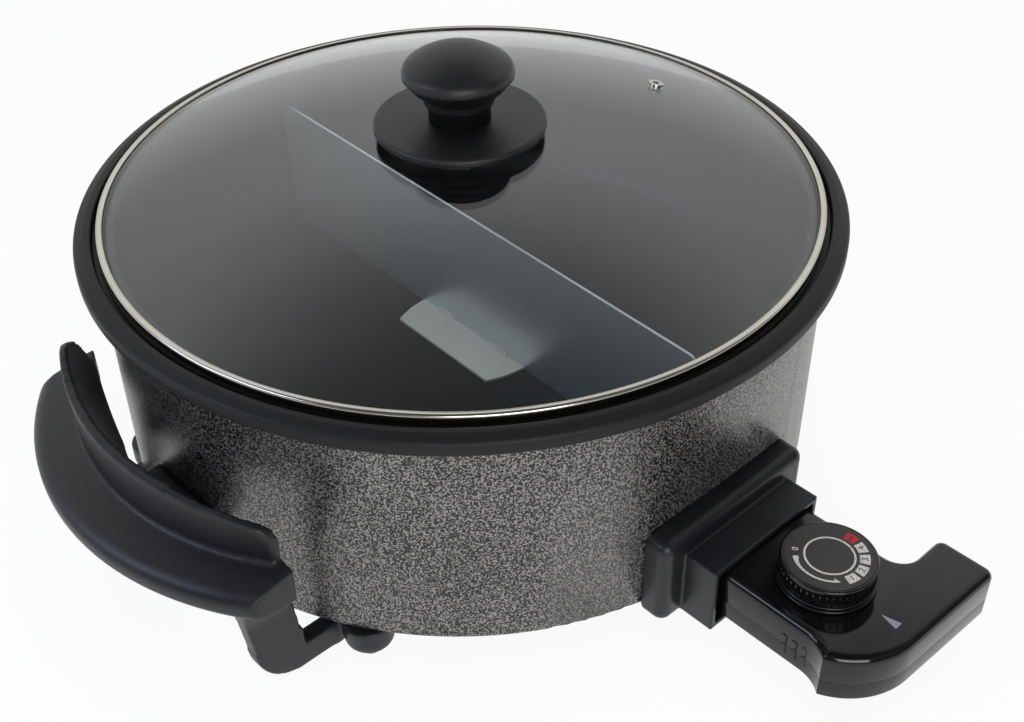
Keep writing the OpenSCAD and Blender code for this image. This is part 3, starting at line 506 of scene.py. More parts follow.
def baked(source: Piece, name: str) -> Piece:
    """Turns an object with modifiers to a plain mesh object.

    Args:
        source: Object with live modifiers, used up here.
        name: Name of the plain object.

    Returns:
        The plain object.
    """
    mesh = evaluated(source)
    mesh.name = name
    return linked(name, mesh)


def loft(bm: bmesh.types.BMesh, rings: list[list[Vector]], caps: bool = True) -> None:
    """Joins closed rings of equal length with quads, and closes both ends.

    Args:
        bm: Bmesh that takes the faces.
        rings: Rings in order, each with the same number of points.
        caps: Whether the first and last ring get a face.
    """
    rows = [[bm.verts.new(p) for p in ring] for ring in rings]
    count = len(rows[0])
    for low, high in zip(rows, rows[1:]):
        for i in range(count):
            j = (i + 1) % count
            bm.faces.new((low[i], low[j], high[j], high[i]))
    if caps:
        bm.faces.new(list(reversed(rows[0])))
        bm.faces.new(rows[-1])


def turned(name: str, profile: Iterable[Point2], axis: Point2, steps: int, hollow: bool = False) -> Piece:
    """Turns a profile about a vertical axis, as on a lathe.

    Args:
        name: Name of the new object.
        profile: Radius and height of each point in millimetres, from the lower cap round the outside to the
            upper one.
        axis: Place of the axis in millimetres.
        steps: Number of sides.
        hollow: Whether the profile is a closed ring section that doesn't reach the axis.

    Returns:
        The new object.
    """
    turns = [2 * math.pi * i / steps for i in range(steps)]
    rings = [[Vector(((axis[0] + r * math.cos(a)) * MM, (axis[1] + r * math.sin(a)) * MM, z * MM))
              for a in turns] for r, z in profile]
    bm = bmesh.new()
    loft(bm, rings + rings[:1] if hollow else rings, caps=not hollow)
    return from_bmesh(name, bm)


def strip(bm: bmesh.types.BMesh, near: list[Point2], far: list[Point2], low: float, high: float) -> None:
    """A closed slab between two lines of equal length, such as the two sides of a stroke.

    Args:
        bm: Bmesh that takes the faces.
        near: One side in millimetres.
        far: The other side, point for point.
        low: Height of the underside in millimetres.
        high: Height of the top.
    """
    loft(bm, [[Vector((x * MM, y * MM, z * MM)) for (x, y), z in ((a, low), (b, low), (b, high), (a, high))]
              for a, b in zip(near, far)])


def lettered(text: str, tall: float, deep: float, place: Matrix) -> bpy.types.Mesh:
    """A number or letter as a thin mesh.

    Args:
        text: What it reads.
        tall: Size of the type in millimetres.
        deep: Half of its thickness in millimetres.
        place: Where it goes, applied to the mesh.

    Returns:
        The mesh, in place.
    """
    curve = bpy.data.curves.new("type", "FONT")
    curve.body = text
    curve.size = tall * MM
    curve.extrude = deep * MM
    curve.align_x = "CENTER"
    curve.align_y = "CENTER"
    curve.resolution_u = 4
    mesh = evaluated(linked("type", curve))
    mesh.transform(place)
    return mesh


class Spread(Enum):
    """How copies of a shape are set out."""

    TURNED = "turned_copies"
    ROW = "row_copies"


@dataclass(frozen=True)
class Copies:
    """A node tree that repeats a small mesh, turned about a vertical axis or along a row."""

    spread: Spread

    def tree(self) -> Tree:
        """Builds the tree, once, with named inputs.

        Returns:
            The node tree.
        """
        found = bpy.data.node_groups.get(self.spread.value)
        if found:
            return found
        tree = bpy.data.node_groups.new(self.spread.value, "GeometryNodeTree")
        sockets = [("Shape", "Geometry"), ("Count", "Int"), ("Start", "Vector"), ("Step", "Vector"),
                   ("First Turn", "Float"), ("Turn", "Float"), ("Finish", "Material")]
        for name, kind in sockets:
            tree.interface.new_socket(name=name, in_out="INPUT", socket_type="NodeSocket" + kind)
        tree.interface.new_socket(name="Shape", in_out="OUTPUT", socket_type="NodeSocketGeometry")
        given = add(tree, "NodeGroupInput").outputs
        points = add(tree, "GeometryNodeMeshLine",
                     {"Count": given["Count"], "Start Location": given["Start"],
                      "Offset": given["Step"]}).outputs[0]
        place = {"Points": points, "Instance": given["Shape"]}
        if self.spread is Spread.TURNED:
            index = add(tree, "GeometryNodeInputIndex").outputs[0]
            turn = add(tree, "ShaderNodeMath", {0: index, 1: given["Turn"], 2: given["First Turn"]},
                       operation="MULTIPLY_ADD").outputs[0]
            place["Rotation"] = add(tree, "ShaderNodeCombineXYZ", {"Z": turn}).outputs[0]
        copies = add(tree, "GeometryNodeInstanceOnPoints", place).outputs[0]
        real = add(tree, "GeometryNodeRealizeInstances", {0: copies}).outputs[0]
        dressed = add(tree, "GeometryNodeSetMaterial",
                      {"Geometry": real, "Material": given["Finish"]}).outputs[0]
        add(tree, "NodeGroupOutput", {0: dressed})
        return tree

    def make(self, name: str, unit: Piece, finish: Finish, values: dict[str, Any]) -> Piece:
        """Repeats a small mesh and returns the copies as one plain piece.

        Args:
            name: Name of the piece.
            unit: Object with the small mesh, used up here.
            finish: Finish of the copies.
            values: Values of the tree's inputs, by name.

        Returns:
            The plain piece.
        """
        tree = self.tree()
        modifier = unit.modifiers.new("copies", "NODES")
        modifier.node_group = tree
        for socket in tree.interface.items_tree:
            if socket.in_out == "INPUT" and socket.name in values:
                modifier[socket.identifier] = values[socket.name]
            elif socket.in_out == "INPUT" and socket.name == "Finish":
                modifier[socket.identifier] = finish.material()
        unit.update_tag()
        return baked(unit, name)


def arc(centre: Point2, radius: float, start: float, end: float, steps: int) -> list[Point2]:
    """Points along an arc, both ends included.

    Args:
        centre: Centre of the arc.
        radius: Its radius.
        start: First angle in degrees.
        end: Last angle in degrees.
        steps: Number of stretches.

    Returns:
        The points in order.
    """
    turns = [math.radians(start + (end - start) * i / steps) for i in range(steps + 1)]
    return [(centre[0] + radius * math.cos(a), centre[1] + radius * math.sin(a)) for a in turns]


@dataclass
class Assembly:
    """A sub-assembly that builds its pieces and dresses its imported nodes."""

    finishes: Finishes
    body: Body

    def dress(self, finish: Finish, *nodes: str) -> None:
        """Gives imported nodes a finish.

        Args:
            finish: The finish.
            nodes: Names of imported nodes.
        """
        for name in nodes:
            slots = frame["nodes"][name].data.materials
            slots.clear()
            slots.append(finish.material())
            LOG.info("dressed %s in %s", name, finish.name)

    def keep(self, piece: Piece, finish: Finish, slot: str, *nodes: str, sharp: float = 40.0) -> None:
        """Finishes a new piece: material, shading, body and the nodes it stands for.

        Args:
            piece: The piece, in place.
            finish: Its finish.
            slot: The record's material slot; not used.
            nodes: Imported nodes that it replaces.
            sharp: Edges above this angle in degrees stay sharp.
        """
        piece.data.materials.clear()
        piece.data.materials.append(finish.material())
        for polygon in piece.data.polygons:
            polygon.material_index = 0
        piece.data.shade_smooth()
        piece.data.set_sharp_from_angle(angle=math.radians(sharp))
        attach(piece, self.body.value)
        if nodes:
            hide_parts(*nodes)
        LOG.info("piece %s rides on %s, %d faces", piece.name, self.body.value, len(piece.data.polygons))

    def merged(self, node: str, name: str) -> Piece:
        """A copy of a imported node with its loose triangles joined, so that its round faces shade smoothly.

        Args:
            node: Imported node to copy.
            name: Name of the new piece.

        Returns:
            The new plain piece.
        """
        bm = bmesh.new()
        bm.from_mesh(frame["nodes"][node].data)
        return from_bmesh(name, bm, merge_mm=0.01, outward=False)

    def softened(self, node: str, name: str, voxel_mm: float, passes: int, share: float) -> Piece:
        """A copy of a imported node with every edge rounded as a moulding's are.

        Args:
            node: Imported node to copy.
            name: Name of the new piece.
            voxel_mm: Size of the remeshing grid.
            passes: Smoothing passes, which set the rounding.
            share: Share of the faces that is kept.

        Returns:
            The new plain piece.
        """
        copy = self.merged(node, name + "_raw")
        grid = copy.modifiers.new("grid", "REMESH")
        grid.mode = "VOXEL"
        grid.voxel_size = voxel_mm * MM
        ease = copy.modifiers.new("ease", "SMOOTH")
        ease.factor = 0.5
        ease.iterations = passes
        thin = copy.modifiers.new("thin", "DECIMATE")
        thin.ratio = share
        return baked(copy, name)


@dataclass
class PanBase(Assembly):
    """The pan with its casing, underside, plug inlet and grips; sizes in millimetres about the pan axis."""

    pan_x: float
    wall_in: float = 147.0
    wall_out: float = 149.4
    wall_edge: float = 1.2
    corner_r: float = 16.0
    floor_top: float = 50.0
    floor_under: float = 47.0
    ledge_z: float = 124.2
    ledge_under: float = 121.8
    ledge_fillet: float = 0.8
    rim_r: float = 165.0
    rim_edge: float = 1.0
    skirt_z: float = 120.6
    skirt_wall: float = 2.6
    skirt_bevel: float = 0.4
    lip_in: float = 157.4
    lip_z: float = 128.2
    lip_mid: float = 2.6
    lip_r: float = 2.2
    crest_r: float = 2.6
    crest_drop: float = 1.0
    crest_turn: float = 66.0
    pole_r: float = 0.5
    steps: int = 288
    grip_voxel_mm: float = 0.8
    grip_passes: int = 9
    grip_low: float = 61.5
    grip_top: float = 77.0
    grip_slack: float = 1.03
    grip_fall: float = 4.0
    guard_mid: Point2 = (12.0, -63.0)
    guard_r: float = 124.6
    guard_reach: float = 18.0
    inlet_voxel_mm: float = 0.5
    inlet_passes: int = 4
    kept_share: float = 0.35

    def pan_profile(self) -> list[Point2]:
        """Section of the pan from the underside's middle, out over the rim and back to the floor's middle.

        Returns:
            Radius and height of each point.
        """
        outer = self.wall_out - self.wall_in + self.corner_r
        bend = self.wall_in - self.corner_r
        skirt = self.rim_r - self.skirt_wall
        crest_z = self.lip_z - self.crest_drop - self.crest_r
        edge, fillet, inner = self.rim_edge, self.ledge_fillet, self.wall_edge
        line = [(self.pole_r, self.floor_under)]
        line += arc((bend, self.floor_under + outer), outer, -90, 0, 10)
        line += [(self.wall_out, self.ledge_under), (skirt, self.ledge_under)]
        line += [(skirt, self.skirt_z + self.skirt_bevel), (skirt + self.skirt_bevel, self.skirt_z)]
        line += arc((self.rim_r - edge, self.skirt_z + edge), edge, -90, 0, 5)
        line += arc((self.rim_r - self.crest_r, crest_z), self.crest_r, 0, self.crest_turn, 8)
        line += arc((self.lip_in + self.lip_mid, self.lip_z - self.lip_r), self.lip_r, self.crest_turn, 90, 3)
        line += arc((self.lip_in + edge, self.lip_z - edge), edge, 90, 180, 6)
        line += arc((self.lip_in - fillet, self.ledge_z + fillet), fillet, 0, -90, 4)
        line += arc((self.wall_in + inner, self.ledge_z - inner), inner, 90, 180, 5)
        line += arc((bend, self.floor_top + self.corner_r), self.corner_r, 0, -90, 14)
        return line + [(self.pole_r, self.floor_top)]

    def slope(self, piece: Piece, turn: float) -> None:
        """Lets a grip's top fall gently from the guard to the outer edge.

        Args:
            piece: Softened copy of the grip.
            turn: 1 for the near grip, -1 for the far one.
        """
        for vertex in piece.data.vertices:
            x, y, z = vertex.co / MM
            along, across = turn * (x - self.pan_x) - self.guard_mid[0], turn * y - self.guard_mid[1]
            out = math.hypot(along, across) - self.guard_r
            high = (z - self.grip_low) / (self.grip_top - self.grip_low)
            if out > 0 and 0 < high < self.grip_slack:
                vertex.co.z -= self.grip_fall * min(out / self.guard_reach, 1.0) * min(high, 1.0) * MM

    def build(self) -> None:
        """Builds the turned pan and the mouldings, and dresses the rest of the base."""
        kit = self.finishes
        pan = turned("coated_pan", self.pan_profile(), (self.pan_x, 0.0), self.steps)
        self.keep(pan, kit.coat, "nonstick", "inner_pan", sharp=50.0)
        casing = self.merged("outer_casing", "enamelled_casing")
        self.keep(casing, kit.casing, "hammertone", "outer_casing", sharp=35.0)
        for node, turn in (("grip_near", 1.0), ("grip_far", -1.0)):
            piece = self.softened(node, "moulded_" + node, self.grip_voxel_mm, self.grip_passes,
                                  self.kept_share)
            self.slope(piece, turn)
            self.keep(piece, kit.grip, "satin_black", node, sharp=80.0)
        inlet = self.softened("inlet_shroud", "moulded_inlet", self.inlet_voxel_mm, self.inlet_passes,
                              self.kept_share)
        self.keep(inlet, kit.inlet, "satin_black", "inlet_shroud", sharp=80.0)
        self.dress(kit.sheet, "base_plate", "heat_shield")
        self.dress(kit.plated, "base_screws", "inlet_screws", "grip_screws", "foot_screws", "element_clamps")
        for finish, node in ((kit.heater, "heating_element"), (kit.brass, "terminal_straps"),
                             (kit.nickel, "contact_pins"), (kit.insulator, "pin_block"),
                             (kit.cast, "probe_block"), (kit.rubber, "foot_pads")):
            self.dress(finish, node)


@dataclass
class GlassLid(Assembly):
    """The loose glass lid with its steel band, knob and vent; sizes in millimetres about the pan axis."""

    pan_x: float
    band_z: float = 124.4
    band_top: float = 131.0
    band_gauge: float = 0.6
    band_lip: float = 2.7
    band_wall: float = 0.74
    band_rounds: Point2 = (0.9, 1.2)
    lip_bevel: float = 0.15
    lip_roll: Point2 = (0.3, 0.25)
    lid_r: float = 155.0
    glass_r: float = 154.2
    glass_t: float = 4.0
    glass_edge: float = 129.6
    glass_hole: float = 4.0
    glass_rings: int = 30
    dome_r: float = 450.0
    knob_r: float = 23.4
    knob_h: float = 31.99
    knob_steps: int = 128
    crown_r: float = 36.0
    cap_edge_r: float = 5.0
    cap_start: float = -14.0
    crown_end: float = 89.7
    pole_r: float = 0.4
    collar_r: float = 14.9
    collar_z: float = 7.8
    # Out from the collar's radius and up from its underside: rounded foot, wall, and the cone above it.
    collar_line: tuple[Point2, ...] = ((-0.7, 0.0), (-0.2, 0.2), (0.0, 0.7), (0.0, 3.1), (0.2, 3.6),
                                       (0.8, 4.1), (4.7, 7.3))
    # Out from the knob's radius and up from the neck's foot: the crease under the cap.
    crease_line: tuple[Point2, ...] = ((-1.1, 18.9), (-0.6, 19.3))
    neck_r: float = 13.1
    neck_lap: float = 0.1
    plate_r: float = 36.4
    plate_t: float = 3.6
    plate_edges: Point2 = (0.7, 1.5)
    plate_steps: int = 160
    hub_r: float = 18.0
    hub_bevel: float = 0.2
    hub_bore: float = 2.7
    hub_lift: float = 1.2
    teeth: int = 12
    tooth_span: Point2 = (30.5, 33.0)
    tooth_mid: float = 31.7
    tooth_low: float = 0.6
    tooth_high: float = 3.4
    notch_half: float = 2.5
    steps: int = 288

    def dome(self, radius: float, drop: float) -> float:
        """Height of the glass at a radius, or of a face that lies a drop below it."""
        centre = self.glass_edge - math.sqrt(self.dome_r ** 2 - self.glass_r ** 2)
        return centre + math.sqrt((self.dome_r - drop) ** 2 - radius ** 2)

    def glass_profile(self) -> list[Point2]:
        """Ring section of the glass: upper face out, ground edge, under face back in.

        Returns:
            Radius and height of each point.
        """
        reach = self.glass_r - self.glass_hole
        radii = [self.glass_hole + reach * i / self.glass_rings for i in range(self.glass_rings + 1)]
        upper = [(r, self.dome(r, 0.0)) for r in radii]
        under = [(r, self.dome(r, self.glass_t)) for r in reversed(radii)]
        return list(reversed(upper + under))

    def band_profile(self) -> list[Point2]:
        """Ring section of the rolled band: outer wall and two lips over the glass edge.

        Returns:
            Radius and height of each point.
        """
        lip, inner = self.lid_r - self.band_lip, self.lid_r - self.band_wall
        low, high, gauge = self.band_z, self.band_top, self.band_gauge
        under, over = self.band_rounds
        roll_out, roll_down = self.lip_roll
        line = [(lip, low + gauge), (lip, low + self.lip_bevel), (lip + self.lip_bevel, low)]
        line += arc((self.lid_r - under, low + under), under, -90, 0, 6)
        line += arc((self.lid_r - over, high - over), over, 0, 90, 8)
        line += [(lip + roll_out, high), (lip, high - roll_down), (lip, high - gauge)]
        return line + [(inner, high - gauge), (inner, low + gauge)]

    def knob_profile(self, low: float) -> list[Point2]:
        """Section of the mushroom knob above its neck.

        Args:
            low: Height of the neck's foot.

        Returns:
            Points from the middle of the collar's underside to the crown.
        """
        middle = low + self.knob_h - self.crown_r
        reach = self.knob_r - self.cap_edge_r
        rise = math.sqrt((self.crown_r - self.cap_edge_r) ** 2 - reach ** 2)
        meet = math.degrees(math.atan2(rise, reach))
        seat = low + self.collar_z
        line = [(self.pole_r, seat)]
        line += [(self.collar_r + out, seat + up) for out, up in self.collar_line]
        line += [(self.knob_r + out, low + up) for out, up in self.crease_line]
        line += arc((reach, middle + rise), self.cap_edge_r, self.cap_start, meet, 16)
        return line + arc((0.0, middle), self.crown_r, meet, self.crown_end, 18)[1:]

    def plate_profile(self, low: float, high: float) -> list[Point2]:
        """Section of the knob's heat plate.

        Args:
            low: Height of its hub.
            high: Height of its top.

        Returns:
            Points from the middle of the hub to the middle of the top.
        """
        under, over = self.plate_edges
        seat = high - self.plate_t
        line = [(self.hub_bore, low), (self.hub_r - self.hub_bevel, low), (self.hub_r, low + self.hub_bevel)]
        line += [(self.hub_r, seat), (self.plate_r - under, seat)]
        line += arc((self.plate_r - under, seat + under), under, -90, 0, 4)
        line += arc((self.plate_r - over, high - over), over, 0, 90, 6)
        return line + [(self.hub_bore, high)]

    def tooth(self, low: float, high: float) -> Piece:
        """One stretch of the ring under the heat plate, between two steam notches.

        Args:
            low: Height of its underside.
            high: Height of its top.

        Returns:
            The stretch about the origin.
        """
        bm = bmesh.new()
        gap = math.degrees(self.notch_half / self.tooth_mid)
        near, far = (arc((0.0, 0.0), r, gap, 360 / self.teeth - gap, 6) for r in self.tooth_span)
        strip(bm, near, far, low, high)
        return from_bmesh("tooth_unit", bm)

    def build(self) -> None:
        """Builds the turned lid pieces and dresses the small ones."""
        kit = self.finishes
        axis = (self.pan_x, 0.0)
        glass = turned("domed_glass", self.glass_profile(), axis, self.steps, hollow=True)
        self.keep(glass, kit.glass, "lid_glass", "lid_glass", sharp=40.0)
        band = turned("rolled_band", self.band_profile(), axis, self.steps, hollow=True)
        self.keep(band, kit.band, "band_steel", "lid_band", sharp=50.0)
        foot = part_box("knob_cap")[0].z / MM
        knob = turned("knob_crown", self.knob_profile(foot), axis, self.knob_steps)
        self.keep(knob, kit.knob, "knob_black", "knob_cap", sharp=60.0)
        seat = foot + self.collar_z + self.neck_lap
        wall = [(self.pole_r, foot), (self.neck_r, foot), (self.neck_r, seat), (self.pole_r, seat)]
        # The neck's near-black, low-gloss finish is painted shade from the cap overhanging it.
        neck = turned("knob_neck", wall, axis, self.knob_steps)
        self.keep(neck, kit.neck, "knob_black", "knob_cap", sharp=60.0)
        top = self.dome(0.0, 0.0)
        plate = turned("knob_heat_plate", self.plate_profile(top + self.hub_lift, foot), axis,
                       self.plate_steps)
        self.keep(plate, kit.knob, "knob_black", "knob_plate", sharp=50.0)
        teeth = Copies(Spread.TURNED).make(
            "heat_plate_ring", self.tooth(top - self.tooth_low, foot - self.tooth_high), kit.knob,
            {"Count": self.teeth, "Start": (self.pan_x * MM, 0.0, 0.0), "Turn": 2 * math.pi / self.teeth})
        self.keep(teeth, kit.knob, "knob_black", "knob_plate")
        self.dress(kit.band, "vent_eyelet")
        self.dress(kit.rubber, "knob_seal", "knob_washer")
        self.dress(kit.plated, "knob_screw")


@dataclass
class Divider(Assembly):
    """The loose sheet divider and its feet."""

    def build(self) -> None:
        """Dresses the divider."""
        self.dress(self.finishes.divider, "divider_plate")
        self.dress(self.finishes.foot, "divider_feet")


@dataclass
class Thermostat(Assembly):
    """The plug-in thermostat: two gloss shells with rounded edges, side marks and a pointer window."""

    neck_half: float = 27.0
    flare_r: float = 18.0
    flare_dx: float = 2.0
    end_r: float = 33.5
    end_dx: float = 8.7
    end_dy: float = -1.0
    notch_r: float = 9.0
    arm_dx: float = 17.7
    arm_corner: float = 4.0
    top_round: float = 3.6
    seam_round: float = 0.14
    foot_round: float = 1.2
    round_steps: int = 6
    lens_tip: Point2 = (0.12, 0.22)
    lens_bevel: float = 0.3
    lens_sink: float = 1.0
    lens_proud: float = 0.05
    mark_count: int = 3
    mark_pitch: float = 4.7
    mark_dx: float = 3.6
    mark_z: float = 25.0
    # A mark's two strokes along the wall and up it, and its section: through the wall, along it and up.
    mark_stroke: tuple[Point2, ...] = ((-2.0, 8.5), (-1.0, 9.3), (-0.1, 8.8), (0.1, 7.4), (0.0, 5.1),
                                       (-0.1, 3.0), (0.1, 1.2), (0.3, 0.0))
    mark_hook: tuple[Point2, ...] = ((0.0, 5.1), (-0.9, 4.6), (-1.7, 3.7))
    mark_section: tuple[Point3, ...] = ((0.3, -0.3, 0.1), (-0.25, -0.3, 0.1), (-0.25, 0.3, -0.1),
                                        (0.3, 0.3, -0.1))

    def place(self) -> None:
        """Reads the shells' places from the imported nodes, in millimetres."""
        low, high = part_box("control_top")
        base_low, base_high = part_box("control_base")
        pivot = next(j for j in frame["joints"] if j["name"] == "dial_turn")["pos_m"]
        self.dial_x = pivot[0] / MM
        self.nose_x = low.x / MM
        self.arm_out = high.x / MM
        self.arm_side = high.y / MM
        self.arm_in = self.dial_x + self.arm_dx
        self.end_x = self.dial_x + self.end_dx
        self.seam_z = base_high.z / MM
        self.low_z = base_low.z / MM
        self.top_z = high.z / MM

    def plan(self, inset: float) -> list[Point2]:
        """Outline of the body seen from above.

        Args:
            inset: How far the outline is drawn in, in millimetres.

        Returns:
            Points in millimetres, counter-clockwise, as many for every inset.
        """
        half = self.neck_half - inset
        flare_c = (self.end_x + self.flare_dx, -self.neck_half - self.flare_r)
        end_c = (self.end_x, self.end_dy)
        flare_r = self.flare_r + inset
        end_r = self.end_r - inset
        gap = math.hypot(end_c[0] - flare_c[0], end_c[1] - flare_c[1])
        along = (flare_r ** 2 - end_r ** 2 + gap ** 2) / (2 * gap)
        across = math.sqrt(flare_r ** 2 - along ** 2)
        ux, uy = (end_c[0] - flare_c[0]) / gap, (end_c[1] - flare_c[1]) / gap
        meet = (flare_c[0] + along * ux + across * uy, flare_c[1] + along * uy - across * ux)
        flare_end = math.degrees(math.atan2(meet[1] - flare_c[1], meet[0] - flare_c[0]))
        end_start = math.degrees(math.atan2(meet[1] - end_c[1], meet[0] - end_c[0]))
        lean = math.degrees(math.atan2(self.arm_out - self.end_x - self.end_r, self.arm_side))
        corner = self.arm_corner - inset
        out_c = (self.arm_out - self.arm_corner, self.arm_side - self.arm_corner)
        in_c = (self.arm_in + self.arm_corner, self.arm_side - self.arm_corner)
        notch_c = (self.arm_in - self.notch_r, self.neck_half + self.notch_r)
        points = [(self.nose_x + inset, -half)]
        points += arc(flare_c, flare_r, 90, flare_end, 10)
        points += arc(end_c, end_r, end_start, -lean, 28)[1:]
        points += arc(out_c, corner, -lean, 90, 6)
        points += arc(in_c, corner, 90, 180, 6)
        points += arc(notch_c, self.notch_r + inset, 0, -90, 10)
        return points + [(self.nose_x + inset, half)]

    def shell(self, name: str, levels: list[Point2]) -> Piece:
        """One shell as a solid lofted from insets at rising heights.

        Args:
            name: Name of the piece.
            levels: Inset and height of each ring in millimetres.

        Returns:
            The new piece.
        """
        bm = bmesh.new()
        loft(bm, [[Vector((x * MM, y * MM, z * MM)) for x, y in self.plan(inset)] for inset, z in levels])
        return from_bmesh(name, bm)

    def rounded(self, radius: float, z: float, up: bool) -> list[Point2]:
        """Levels of a quarter-round edge.

        Args:
            radius: Radius of the edge in millimetres.
            z: Height of the flat face that it runs into.
            up: True for an upper edge.

        Returns:
            Inset and height of each level, in rising order.
        """
        turns = [math.pi / 2 * i / self.round_steps for i in range(self.round_steps + 1)]
        if up:
            return [(radius * (1 - math.cos(a)), z - radius * (1 - math.sin(a))) for a in turns]
        return [(radius * (1 - math.sin(a)), z + radius * (1 - math.cos(a))) for a in turns]

    def pointer(self) -> Piece:
        """The triangular pilot window in the upper shell, its point toward the dial.

        Returns:
            The new piece.
        """
        low, high = (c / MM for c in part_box("pilot_lens"))
        bm = bmesh.new()
        point, shoulder = self.lens_tip
        bevel = self.lens_bevel
        tip = [(low.x, -point), (low.x + bevel, -shoulder), (high.x - bevel, low.y), (high.x, low.y + bevel)]
        strip(bm, tip, [(x, -y) for x, y in tip], self.top_z - self.lens_sink, self.top_z + self.lens_proud)
        return from_bmesh("pilot_window", bm)

    def side_mark(self) -> Piece:
        """One hooked stroke of the side marks, standing a little proud of the shell's wall.

        Returns:
            The mark at the origin.
        """
        bm = bmesh.new()
        for path in (self.mark_stroke, self.mark_hook):
            loft(bm, [[Vector(((x + s) * MM, d * MM, (z + w) * MM)) for d, s, w in self.mark_section]
                      for x, z in path])
        return from_bmesh("mark_unit", bm)

    def build(self) -> None:
        """Builds the shells and dresses the inner pieces."""
        self.place()
        kit = self.finishes
        upper = self.rounded(self.seam_round, self.seam_z, False)
        upper += self.rounded(self.top_round, self.top_z, True)
        lower = self.rounded(self.foot_round, self.low_z, False)
        lower += self.rounded(self.seam_round, self.seam_z, True)
        self.keep(self.shell("gloss_upper_shell", upper), kit.shell, "gloss_black", "control_top")
        self.keep(self.shell("gloss_lower_shell", lower), kit.shell, "gloss_black", "control_base")
        self.keep(self.pointer(), kit.lens, "lens_clear", "pilot_lens")
        start = ((self.dial_x + self.mark_dx) * MM, -self.neck_half * MM, self.mark_z * MM)
        marks = Copies(Spread.ROW).make(
            "side_marks", self.side_mark(), kit.mark,
            {"Count": self.mark_count, "Start": start, "Step": (self.mark_pitch * MM, 0.0, 0.0)})
        self.keep(marks, kit.mark, "gloss_black")
        for finish, node in ((kit.plated, "control_screws"), (kit.nickel, "probe_rod"),
                             (kit.brass, "contact_sleeves"), (kit.insulator, "switch_block"),
                             (kit.lamp, "pilot_lamp"), (kit.rubber, "cord_gland")):
            self.dress(finish, node)


